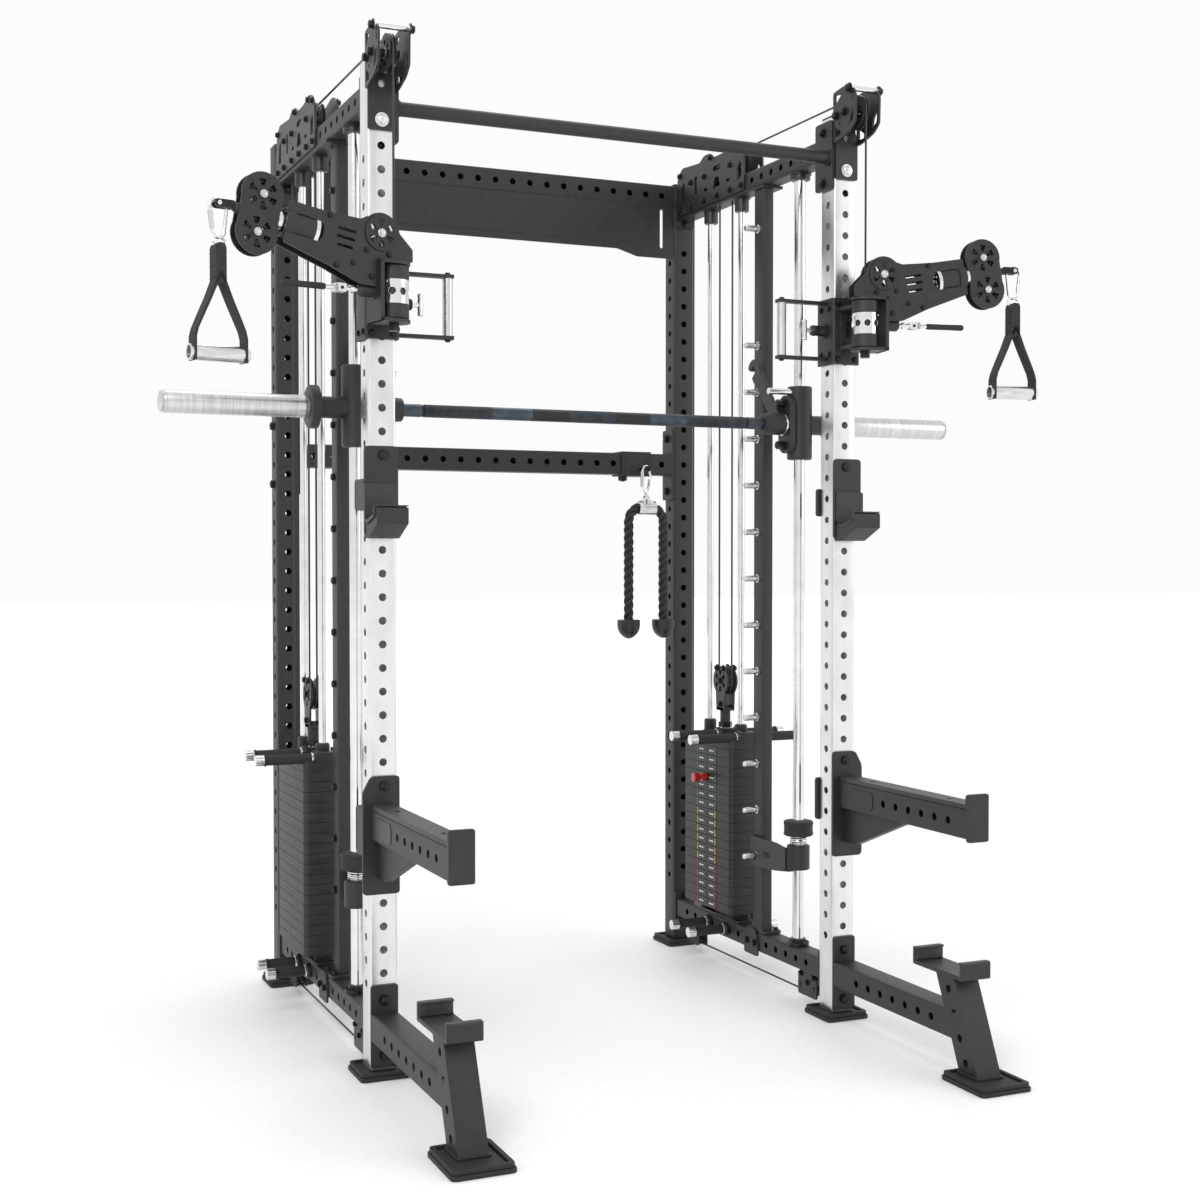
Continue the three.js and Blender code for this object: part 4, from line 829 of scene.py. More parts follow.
# wheels: one maker for every pulley
def wheel(shape, plane, a, b, path, material=nylon, half=7, hub=chrome, spokes=6):
    rim = path + 2
    steps = 32
    for way in (-1, 1):
        outer = circle(a, b, rim - 3, steps)
        slots = []
        for i in range(spokes):
            mid = 2 * math.pi * (i + 0.5) / spokes
            inner, wideAt = path * 0.42, path * 0.72
            slots.append(rounded([(a + inner * math.cos(mid - 0.22), b + inner * math.sin(mid - 0.22)),
                                  (a + wideAt * math.cos(mid - 0.32), b + wideAt * math.sin(mid - 0.32)),
                                  (a + wideAt * math.cos(mid + 0.32), b + wideAt * math.sin(mid + 0.32)),
                                  (a + inner * math.cos(mid + 0.22), b + inner * math.sin(mid + 0.22))],
                                  2.5, 2))
        shape.plate(outer, slots, plane, way * (half - 3), way * half, material)
    profile = [(-half, rim - 3), (-half, rim), (-half + 1, rim), (-3.2, path - 4), (-2.2, path - 5.5),
               (2.2, path - 5.5), (3.2, path - 4),
               (half - 1, rim), (half, rim), (half, rim - 3), (half - 3, path - 8), (3 - half, path - 8),
               (-half, rim - 3)]
    verts, faces = [], []
    for t, r in profile:
        verts += [plane(p[0], p[1], t) for p in circle(a, b, r, steps)]
    for k in range(len(profile) - 1):
        for i in range(steps):
            j = (i + 1) % steps
            faces.append((k * steps + i, k * steps + j, (k + 1) * steps + j, (k + 1) * steps + i))
    shape.add(verts, faces, material, True)
    ends = [plane(a, b, -half - 2), plane(a, b, half + 2)]
    shape.rod(ends[0], ends[1], path * 0.26, hub, 24)


def centred(plane, offset):
    return lambda a, b, t: plane(a, b, t + offset)


# top pulleys and their brackets
topPulleys = dict(height=2150, path=38, ys=(526.5, 674.5, 755.5))


def makeTopPulleys():
    t = topPulleys
    shape = Shape()
    outline = rounded([(448, 2070), (835, 2070), (848, 2092), (905 - 70, 2178), (806, 2200), (757, 2196),
                       (700, 2192), (676, 2206),
                       (640, 2206), (618, 2190), (560, 2190), (502, 2200), (478, 2196), (450, 2168),
                       (446, 2100)], 9)
    cuts = [rounded([(462, 2102), (486, 2102), (486, 2128), (470, 2150), (462, 2140)], 4),
            slotHole(600, 2158, 46, 14),
            rounded([(580, 2104), (622, 2104), (612, 2134), (590, 2134)], 5),
            rounded([(716, 2112), (730, 2112), (730, 2160), (716, 2160)], 4),
            rounded([(792, 2104), (816, 2104), (808, 2150), (792, 2160)], 5), slotHole(536, 2112, 20, 9),
            slotHole(664, 2112, 20, 9)]
    for x0, x1 in ((595, 600), (540, 545)):
        shape.plate(outline, cuts, onSide, x0, x1, laser)
    for y in t["ys"]:
        wheel(shape, centred(onSide, side), y, t["height"], t["path"])
    pair(shape, "topPulleys", "frame", "top_beam")
    around = [(465, 2084), (465, 2180), (526.5, 2150), (526.5, 2084), (600, 2084), (674.5, 2150),
              (674.5, 2084), (755.5, 2150), (755.5, 2084), (822, 2084),
              (820, 2180), (640, 2194), (502, 2190)]
    spots = [((x, y, z), n) for y, z in around for x, n in ((600, outside), (540, inside))]
    bolts("topPulleyBolts", "frame", "top_beam", spots, 7, 6.5, 9.5)
    sockets = Shape()
    for y, deep, outer, bore in ((516 - 3.5, 37, 19, 9.4), (694 - 5.5, 37, 19, 9.4), (210, 17, 25, 14.4)):
        sockets.turned((side, y, 2062), (side, y, 2062 - deep),
                       [(0, outer + 3), (4, outer + 3), (5, outer), (deep - 2, outer), (deep, outer - 2),
                        (deep, bore), (0, bore), (0, outer + 3)], nylon, 32)
    sockets.block((541, 599), (346, 404), (2055, 2061.6), coat)
    pair(sockets, "rodSockets", "frame", "top_beam")
    print("top pulleys made")


def makeFrontHead():
    shape = Shape()
    shape.plate(rounded([(540, 2003), (600, 2003), (600, 2098), (592, 2122), (548, 2122), (540, 2098)], 5),
                [circle(side, 2100, 8, 20)], onFace, -6, 0, laser)
    outline = rounded([(0, 2085), (0, 2204), (-50, 2210), (-88, 2196), (-97, 2180), (-95, 2118),
                       (-70, 2100), (-24, 2088)], 7)
    cuts = [rounded([(-9, 2098), (-32, 2098), (-34, 2108), (-9, 2124)], 3),
            rounded([(-8, 2172), (-36, 2192), (-8, 2197)], 3),
            rounded([(-66, 2112), (-87, 2124), (-88, 2154), (-72, 2136)], 3),
            slotHole(-86, 2172, 16, 7, 90), circle(-30, 2126, 4, 12)]
    for x0, x1 in ((535, 540), (600, 605)):
        shape.plate(outline, cuts, onSide, x0, x1, laser)
    wheel(shape, centred(onSide, side), -50, 2150, 38)
    shape.rod((546, -50, 2150), (594, -50, 2150), 9, boltBlack)
    pair(shape, "frontHead", "frame", "pulley_head", 0.7)
    pins = Shape()
    pins.rod((530, -78, 2197), (610, -78, 2197), 6.5, chrome, 24)
    pair(pins, "headPin", "frame", "pulley_head")
    spots = [((605, -50, 2150), outside), ((535, -50, 2150), inside), ((610, -78, 2197), outside),
             ((530, -78, 2197), inside),
             ((605, -14, 2148), outside), ((535, -14, 2148), inside)]
    bolts("headNuts", "frame", "pulley_head", spots, 9, 8, 12)
    bolts("headBolt", "frame", "pulley_head", [((side, -6, 2024.5), toFront)], 12, 7, 15,
          material=zinc)
    print("front heads made")


makeTopPulleys()
makeFrontHead()


# cables of each side
cableRun = dict(radius=2.5, wheelZ=2150, path=38, dropY=-88, frontY=564.5, rearY=636.5, returnY=793.5,
                movingZ=773, movingPath=36,
                lowWheelZ=54, lowPath=28, lowFrontY=140, lowRearY=765.5,
                armTop=1771, stackTravel=1.15, carriageTravel=0.2)


def arc(y, z, radius, start, end, count=14):
    return [(side, y + radius * math.cos(math.radians(start + (end - start) * i / count)),
             z + radius * math.sin(math.radians(start + (end - start) * i / count)))
             for i in range(count + 1)]


def makeCables():
    c = cableRun
    r, z, p = c["radius"], c["wheelZ"], c["path"]
    top = Shape()
    top.sweep([(side, c["dropY"], z)] + arc(c["dropY"] + p, z, p, 180, 90)
              + arc(c["frontY"] - p, z, p, 90, 0) + [(side, c["frontY"], z)], r, cableJacket)
    pair(top, "topCable", "frame", "top_cable")
    loop = Shape()
    straight = [(side, c["frontY"], z - 60 * i) for i in range(23)]
    back = [(side, c["rearY"], z - 60 * i) for i in reversed(range(23))]
    loop.sweep(straight + arc((c["frontY"] + c["rearY"]) / 2, c["movingZ"], c["movingPath"], 180, 360)
               + back, r, cableJacket)
    low = Shape()
    low.sweep([(side, c["rearY"], z)] + arc(c["rearY"] + p, z, p, 180, 90)
              + arc(c["returnY"] - p, z, p, 90, 0)
              + arc(c["lowRearY"], c["lowWheelZ"], c["lowPath"], 0, -90)
              + arc(c["lowFrontY"], c["lowWheelZ"], c["lowPath"], 270, 180), r, cableJacket)
    pair(low, "lowCable", "frame", "low_cable")
    drop = Shape()
    drop.sweep([(side, c["dropY"], z - (z - c["armTop"]) * i / 12) for i in range(13)], r, cableJacket)
    for shape, name, node, joint, travel in (
            (loop, "stackCable", "stack_cable", "stack_lift", c["stackTravel"]),
            (drop, "armCable", "arm_cable", "carriage_slide", c["carriageTravel"])):
        for mark, flip in (("r", False), ("l", True)):
            obj = shape.build(f"{name}_{mark}", flip)
            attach(obj, "frame")
            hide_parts(f"{node}_{mark}")
            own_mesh(obj)
    print("cables made")


makeCables()


# low pulley brackets and band pegs on the base beams
lowGear = dict(frontY=140, rearY=765.5, axleZ=54, path=28, pegYs=(548, 648), inner=140, outer=130,
               pegRadius=12.5)


def bandPeg(shape, y, z, start, end):
    out = 1 if end > start else -1
    shape.pipe((start, y, z), (start + out * 8, y, z), lowGear["pegRadius"] + 6, lowGear["pegRadius"] - 1,
               coat, 24)
    shape.rod((start + out * 8, y, z), (start + out * 13, y, z), lowGear["pegRadius"] + 1.6, chrome, 24)
    shape.rod((start, y, z), (end - out * 26, y, z), lowGear["pegRadius"], rubber, 24)
    shape.rod((end - out * 26, y, z), (end - out * 21, y, z), lowGear["pegRadius"] + 1.6, boltBlack, 24)
    shape.rod((end - out * 21, y, z), (end, y, z), lowGear["pegRadius"] + 0.6, chrome, 24)


def makeLowGear():
    g = lowGear
    shape = Shape()
    for y, half in ((g["frontY"], 44), (g["rearY"], 34)):
        outline = rounded([(y - half, 20), (y + half, 20), (y + half, 66), (y + half - 12, 84),
                           (y - half + 12, 84), (y - half, 66)], 7)
        cuts = [slotHole(y - half + 11, 44, 16, 6, 90), slotHole(y + half - 11, 44, 16, 6, 90)]
        for x0, x1 in ((side + 11, side + 15), (side - 15, side - 11)):
            shape.plate(outline, cuts, onSide, x0, x1, laser)
        wheel(shape, centred(onSide, side), y, g["axleZ"], g["path"], spokes=5)
    pair(shape, "lowPulleys", "frame", "base_beam")
    holes = ((g["frontY"], 54), (g["rearY"], 54), (g["frontY"] - 30, 72), (g["frontY"] + 30, 72))
    spots = [((side + w * 15, y, z), (w, 0, 0)) for w in (1, -1) for y, z in holes]
    bolts("lowPulleyBolts", "frame", "base_beam", spots, 6, 5.5, 8.5)
    pegs = Shape()
    for y in g["pegYs"]:
        bandPeg(pegs, y, 107, side - 25, side - g["inner"])
        bandPeg(pegs, y, 107, side + 25, side + g["outer"])
    pair(pegs, "lowPegs", "frame", "base_beam")
    print("low gear made")


makeLowGear()


# six tapered slots round a hub
def petals(a, b, near, far):
    made = []
    for k in range(6):
        middle = 2 * math.pi * (k + 0.5) / 6
        corners = [(a + q * math.cos(middle + d), b + q * math.sin(middle + d))
                   for q, d in ((near, -0.2), (far, -0.25), (far, 0.25), (near, 0.2))]
        made.append(rounded(corners, 2.2, 2))
    return made


# latch column, rods, weight stack
latch = dict(y=375, x=(545, 575), first=333, pitch=120, count=12, parked=1953, long=41, radius=8)
stackSpec = dict(x=(513, 627), y=(464.5, 736.5), low=159.6, plate=24.4, rest=14, lifted=4, head=26,
                 middle=600.5)


def makeColumn():
    c = latch
    tube = Shape()
    tube.squareTube(c["x"], (350, 400), (140, 2061), "z", coat, corner=5)
    pair(tube, "latchTube", "frame", "latch_column")
    foot = Shape()
    foot.plate(rectangle(545, 595, 336, 414, 6), [], onFloor, 132.3, 140.5, coat)
    pair(foot, "latchFoot", "frame", "latch_column", 0.8)
    peg = Shape()
    z = c["first"]
    peg.turned((546, c["y"], z), (545 - c["long"], c["y"], z),
               [(0, 11), (5, 11), (6, c["radius"]), (c["long"] - 1.5, c["radius"]),
                (c["long"] + 1, c["radius"] - 1.6)], satin, 24)
    pair(peg, "latchPegs", "frame", "latch_column", 0.0, (), ((0, 0, c["pitch"]), c["count"]))
    lone = Shape()
    z = c["parked"]
    lone.turned((546, c["y"], z), (545 - c["long"], c["y"], z),
                [(0, 11), (5, 11), (6, c["radius"]), (c["long"] - 1.5, c["radius"]),
                 (c["long"] + 1, c["radius"] - 1.6)], satin, 24)
    pair(lone, "parkedPeg", "frame", "latch_column")
    heights = [c["first"] + c["pitch"] * k for k in range(c["count"])] + [c["parked"]]
    bolts("latchNuts", "frame", "latch_column",
          [((575, c["y"], z), outside) for z in heights], 8, 7, 11)
    bolts("latchFootBolts", "frame", "latch_column",
          [((585, y, 140.5), upward) for y in (348, 402)], 6.5, 6, 9)
    rods = Shape()
    for y in (512.5, 688.5):
        rods.rod((side, y, 138), (side, y, 2055), 9, chrome, 28)
        rods.turned((side, y, 138), (side, y, 159.3),
                    [(0, 23), (3, 24), (8, 21), (11, 24), (18, 24), (21.3, 22)], rubber, 28)
    rods.plate(rectangle(545, 595, 486, 715, 6), [], onFloor, 132.3, 138.3, coat)
    pair(rods, "guideRods", "frame", "guide_rods")
    smith = Shape()
    smith.rod((side, 210, 138), (side, 210, 2055), 14, chrome, 36)
    smith.turned((side, 210, 132.3), (side, 210, 150), [(0, 28), (9, 28), (11, 20), (17.7, 19)], boltBlack,
                 36)
    pair(smith, "barbellRod", "frame", "smith_rod")
    spots = [((side + 21 * math.cos(a), 210 + 21 * math.sin(a), 141.3), upward)
             for a in (math.pi / 4 + k * math.pi / 2 for k in range(4))]
    bolts("barbellRodBolts", "frame", "smith_rod", spots, 4, 4, 5.5)
    print("column and rods made")


def platePiece(shape, z, thick):
    s = stackSpec
    rods = [circle(side, y, 11, 20) for y in (512.5, 688.5)]
    outline = rounded([(s["x"][0], s["y"][0] + 8), (s["x"][0] + 8, s["y"][0]), (s["x"][1] - 8, s["y"][0]),
                       (s["x"][1], s["y"][0] + 8),
                       (s["x"][1], s["y"][1] - 8), (s["x"][1] - 8, s["y"][1]), (s["x"][0] + 8, s["y"][1]),
                       (s["x"][0], s["y"][1] - 8)], 4)
    shape.plate(outline, rods, onFloor, z + 1.1, z + thick, iron)
    inner = rounded([(s["x"][0] + 2, s["y"][0] + 8), (s["x"][0] + 8, s["y"][0] + 2),
                     (s["x"][1] - 8, s["y"][0] + 2), (s["x"][1] - 2, s["y"][0] + 8),
                     (s["x"][1] - 2, s["y"][1] - 8), (s["x"][1] - 8, s["y"][1] - 2),
                     (s["x"][0] + 8, s["y"][1] - 2), (s["x"][0] + 2, s["y"][1] - 8)], 4)
    shape.plate(inner, rods, onFloor, z, z + 1.4, nylon)


def labelPiece(shape, z, tint):
    x, mid = stackSpec["x"][0], stackSpec["middle"]
    shape.block((x - 0.7, x + 0.5), (mid - 56, mid + 56), (z + 1.6, z + 23.2), barBlack)
    shape.turned((x - 1.2, mid, z + 12.2), (x + 0.5, mid, z + 12.2), [(0, 4.6), (0, 7.4), (1.7, 7.4)],
                 boltBlack, 16)
    for out in (-1, 1):
        for near, far in ((17, 25), (28, 40)):
            y0, y1 = sorted((mid + out * near, mid + out * far))
            shape.block((x - 1.3, x), (y0, y1), (z + 10.4, z + 14), white)
        y0, y1 = sorted((mid + out * 49, mid + out * 52.4))
        shape.block((x - 1.3, x), (y0, y1), (z + 3.4, z + 21), tint)


def makeStack():
    s = stackSpec
    plates = Shape()
    platePiece(plates, s["low"], s["plate"])
    pair(plates, "restingPlates", "frame", "weight_stack", 0.0, (),
         ((0, 0, s["plate"]), s["rest"]))
    split = s["low"] + s["rest"] * s["plate"]
    picked = Shape()
    platePiece(picked, split, s["plate"])
    pair(picked, "pickedPlates", "lifted_stack", "lifted_stack", 0.0, (),
         ((0, 0, s["plate"]), s["lifted"]))
    tints = [red] * 5 + [amber] * 6 + [green] * 7
    for name, body, node, rows in (("restingLabel", "frame", "weight_stack", range(s["rest"])),
                                   ("pickedLabel", "lifted_stack", "lifted_stack",
                                    range(s["rest"], s["rest"] + s["lifted"]))):
        label = Shape()
        for k in rows:
            labelPiece(label, s["low"] + k * s["plate"], tints[k])
        pair(label, name, body, node)
    top = Shape()
    headLow = split + s["lifted"] * s["plate"]
    platePiece(top, headLow, s["head"])
    z = headLow + s["head"]
    for y in (512.5, 688.5):
        top.turned((side, y, z - 1), (side, y, z + 38),
                   [(0, 10), (0, 19), (8, 19), (9, 17), (34, 17), (38, 14), (38, 10), (0, 10)], nylon, 28)
    for y in (478, 588):
        for out in (-1, 1):
            bandPeg(top, y, z + 5, side + out * 24, side + out * 170)
        top.block((side - 24, side + 24), (y - 16, y + 16), (z - 1, z + 19), coat, 4)
    top.rod((side, 600.5, z - 1), (side, 600.5, z + 24), 13, chrome, 28)
    top.rod((side, 600.5, z + 34), (side, 600.5, 706), 14, coat, 28)
    top.rod((side, 600.5, z + 22), (side, 600.5, z + 36), 19, boltBlack, 6)
    top.plate(rectangle(side - 16, side + 16, 578, 623, 4), [], onFloor, 692, 700, coat)
    middle = 773
    disc = [(600.5 + 40 * math.cos(math.radians(q)), middle + 40 * math.sin(math.radians(q)))
            for q in range(-50, 231, 10)]
    cheek = rounded(disc + [(578, 692), (623, 692)], 3, 2)
    cuts = petals(600.5, middle, 13, 30)
    for x0, x1 in ((side + 11, side + 16), (side - 16, side - 11)):
        top.plate(cheek, cuts, onSide, x0, x1, laser)
    pair(top, "stackHead", "lifted_stack", "lifted_stack")
    spots = [((side + w * 16, 600.5, middle), (w, 0, 0)) for w in (1, -1)]
    spots += [((side + w * 16, 600.5 + dy, middle + dz), (w, 0, 0)) for w in (1, -1)
              for dy, dz in ((18, 34), (-18, 34), (0, -64))]
    bolts("stackHeadBolts", "lifted_stack", "lifted_stack", spots, 7, 6, 10)
    moving = Shape()
    wheel(moving, centred(onSide, side), 600.5, middle, 36)
    pair(moving, "movingWheel", "stack_wheel", "stack_pulley_wheel")
    pin = Shape()
    z = headLow - 3.5 * s["plate"]
    pin.turned((513 - 2, 600.5, z), (471, 600.5, z), [(0, 10), (1, 11), (13, 11), (14, 7.5), (24, 7.5),
                                                      (27, 12.5), (30, 13.5), (38, 13.5), (40, 11.5)],
                                                      redKnob, 28)
    pin.rod((508, 600.5, z), (578, 600.5, z), 5, chrome, 20)
    pair(pin, "selectorPin", "selector_pin", "selector_pin")
    print("stacks made")


makeColumn()
makeStack()


# front legs
legSpec = dict(tubeZ=(79, 139), lean=23.5, footFront=-574, postTop=216, cradleHalf=91, cradleBack=19,
               cradleX=(534, 606))


def makeLegs():
    g = legSpec
    slope = math.tan(math.radians(g["lean"]))
    deep = 60 / math.cos(math.radians(g["lean"]))
    tube = Shape()
    tube.squareTube((540.4, 599.6), (-500, -6), g["tubeZ"], "y", coat)
    pair(tube, "legTube", "frame", "front_leg", 0.0,
         [((side, -105 - 50 * 6, 109), (0, 50, 0), 7, "x", 8.5, 90)])
    post = Shape()
    shift = slope * (g["postTop"] - 16)
    y = g["footFront"]
    outline = [(y, 16), (y + deep, 16), (y + deep + shift, g["postTop"]), (y + shift, g["postTop"])]
    holes = [circle(y + deep / 2 + slope * (z - 16), z, 8.5, 20) for z in (40, 88, 136, 184)]
    post.plate(rounded(outline, 2), holes, onSide, 540, 600, coat)
    pair(post, "legPost", "frame", "front_leg", 2.5)
    top = Shape()
    mid = y + deep / 2 + slope * (g["postTop"] - 18) + g["cradleBack"]
    h = g["cradleHalf"]
    cradle = [(mid - h, g["postTop"] + 33), (mid - h, g["postTop"] - 4), (mid - 34, g["postTop"] - 4),
              (mid + 34, g["postTop"] - 4), (mid + h, g["postTop"] - 4),
              (mid + h, g["postTop"] + 34), (mid + h - 8, g["postTop"] + 34),
              (mid + h - 8, g["postTop"] + 5), (mid - h + 8, g["postTop"] + 5),
              (mid - h + 8, g["postTop"] + 34)]
    top.plate(rounded(cradle, 5), [], onSide, *g["cradleX"], coat)
    for w in (-1, 1):
        y0, y1 = sorted((mid + w * (h - 8), mid + w * (h - 14)))
        top.block((536, 604), (y0, y1), (g["postTop"] + 6, g["postTop"] + 33), liner)
        y0, y1 = sorted((mid + w * (h - 16), mid + w * (h + 0.4)))
        top.plate(rounded([(y0, g["postTop"] + 29), (y1, g["postTop"] + 29), (y1, g["postTop"] + 34.4),
                           (y0, g["postTop"] + 34.4)], 2.4), [], onSide, 535, 605, liner)
    pair(top, "legCradle", "frame", "front_leg", 0.8)
    hold = Shape()
    hold.plate(rectangle(540, 600, 22, 198, 6), [], onFace, -6.3, -0.3, coat)
    pair(hold, "legFlange", "frame", "front_leg", 0.8)
    bolts("legBolts", "frame", "front_leg", [((side, -6.3, z), toFront) for z in (166, 48)],
          10, 8, 13)
    feet = Shape()
    makeFoot(feet, side, -636 + 75, 150, 126)
    pair(feet, "legFeet", "frame", "front_leg", 1.2)
    ankle = Shape()
    ankle.plate(rectangle(536, 604, y - 4, y + deep + 4, 5), [], onFloor, 14, 19, coat)
    pair(ankle, "legAnkle", "frame", "front_leg", 0.8)
    print("legs made")


makeLegs()


# bar holders and spotter arms
holderSpec = dict(x=(537, 611), z=(1146, 1341), pin=1322)
spotterSpec = dict(x=(536, 617), z=(392, 644), pin=622, end=-516, x1=(550, 600))


def makeHolders():
    h = holderSpec
    shape = Shape()
    shape.plate(rounded([(537, 1150), (611, 1150), (611, 1341), (537, 1341)], 10), [], onFace, -8.3, -0.3,
                coat)
    profile = [(-4, 1146), (-30, 1146), (-95, 1176), (-95, 1209), (-85, 1209), (-85, 1190), (-28, 1176),
               (-8, 1184)]
    shape.plate(rounded(profile, 3), [], onSide, 541, 609, coat)
    shape.plate(rounded([(-8, 1206), (66, 1206), (70, 1210), (70, 1268), (66, 1272), (-8, 1272)], 6), [],
                onSide, 603, 611, coat)
    shape.plate(rectangle(532, 611, 1206, 1272, 6), [], onFace, 62, 70, coat)
    pair(shape, "holderPlate", "bar_holder", "bar_holder", 1.2)
    pads = Shape()
    pads.plate(rounded([(-84.8, 1212), (-92, 1212), (-100 + 5, 1212), (-95.2, 1214), (-84.8, 1214)], 1), [],
               onSide, 541, 609, liner)
    seat = [(-84.5, 1190.5), (-28, 1176.5), (-12, 1183), (-12, 1191), (-28, 1184), (-84.5, 1198)]
    pads.plate(rounded(seat, 1.5), [], onSide, 542, 613, liner)
    pads.plate(rounded([(540, 1190), (613, 1190), (613, 1262), (540, 1262)], 6), [], onFace, -15, -8.4, liner)
    pads.plate(rounded([(-84.9, 1192), (-79, 1190), (-79, 1212), (-84.9, 1212)], 1), [], onSide, 542, 613,
               liner)
    pair(pads, "holderLiner", "bar_holder", "bar_holder", 0.8)
    bolts("holderPinHead", "bar_holder", "bar_holder", [((side, -8.3, h["pin"]), toFront)],
          10, 5, 12, 20)
    pin = Shape()
    pin.rod((side, -4, h["pin"]), (side, 26, h["pin"]), 7.6, satin)
    pair(pin, "holderPin", "bar_holder", "bar_holder")
    s = spotterSpec
    back = Shape()
    back.plate(rounded([(536, 392), (611, 392), (617, 398), (617, 609), (599, 643), (536, 643)], 8), [],
               onFace, -8.3, -0.3, coat)
    back.plate(rounded([(-8, 472), (66, 472), (70, 478), (70, 568), (66, 574), (-8, 574)], 6), [], onSide,
               603, 611, coat)
    back.plate(rectangle(532, 611, 472, 574, 8), [], onFace, 62, 70, coat)
    back.plate(rounded([(-6, 426), (-6, 512), (-262, 512), (-262, 506), (-60, 428)], 5), [], onSide, 566,
               586, coat)
    pair(back, "spotterBack", "spotter_arm", "spotter_arm", 1.2)
    tube = Shape()
    tube.squareTube(s["x1"], (s["end"], -8), (510, 574), "y", coat)
    pair(tube, "spotterTube", "spotter_arm", "spotter_arm", 0.0,
         [((575, -200 - 50 * 5, 543), (0, 50, 0), 6, "x", 8.5, 90)])
    trim = Shape()
    trim.plate(rounded([(549, 504), (601, 504), (601, 606), (549, 606)], 5), [], onFace, s["end"] - 9,
               s["end"], coat)
    trim.plate(rectangle(551, 599, s["end"] + 2, -10, 5),
               [slotHole(575, -120, 22, 7, 90), slotHole(575, -420, 22, 7, 90)], onFloor, 574.2, 584, liner)
    trim.plate(rounded([(551, 574), (599, 574), (599, 603), (551, 603)], 4), [], onFace, s["end"] + 0.2,
               s["end"] + 6, liner)
    badge = [(-60, 520), (-150, 520), (-158, 528), (-158, 556), (-150, 564), (-60, 564), (-52, 556),
             (-52, 528)]
    for x0, x1 in ((599.5, 601.4), (548.6, 550.5)):
        trim.plate(rounded(badge, 5), [], onSide, x0, x1, barBlack)
    pair(trim, "spotterTrim", "spotter_arm", "spotter_arm", 1.0)
    bolts("spotterPinHead", "spotter_arm", "spotter_arm", [((side, -8.3, s["pin"]), toFront)],
          10, 5, 12, 20)
    pin = Shape()
    pin.rod((side, -4, s["pin"]), (side, 26, s["pin"]), 7.6, satin)
    pair(pin, "spotterPin", "spotter_arm", "spotter_arm")
    print("holders and spotters made")


makeHolders()


# arm carriage with drum, grab handle and plunger
carriageSpec = dict(z=(1566, 1722), drum=(1596.5, 1703.5), drumRadius=31.5, ring=(1626, 1675), grabX=414,
                    grabZ=(1582, 1710), plungerZ=1647)


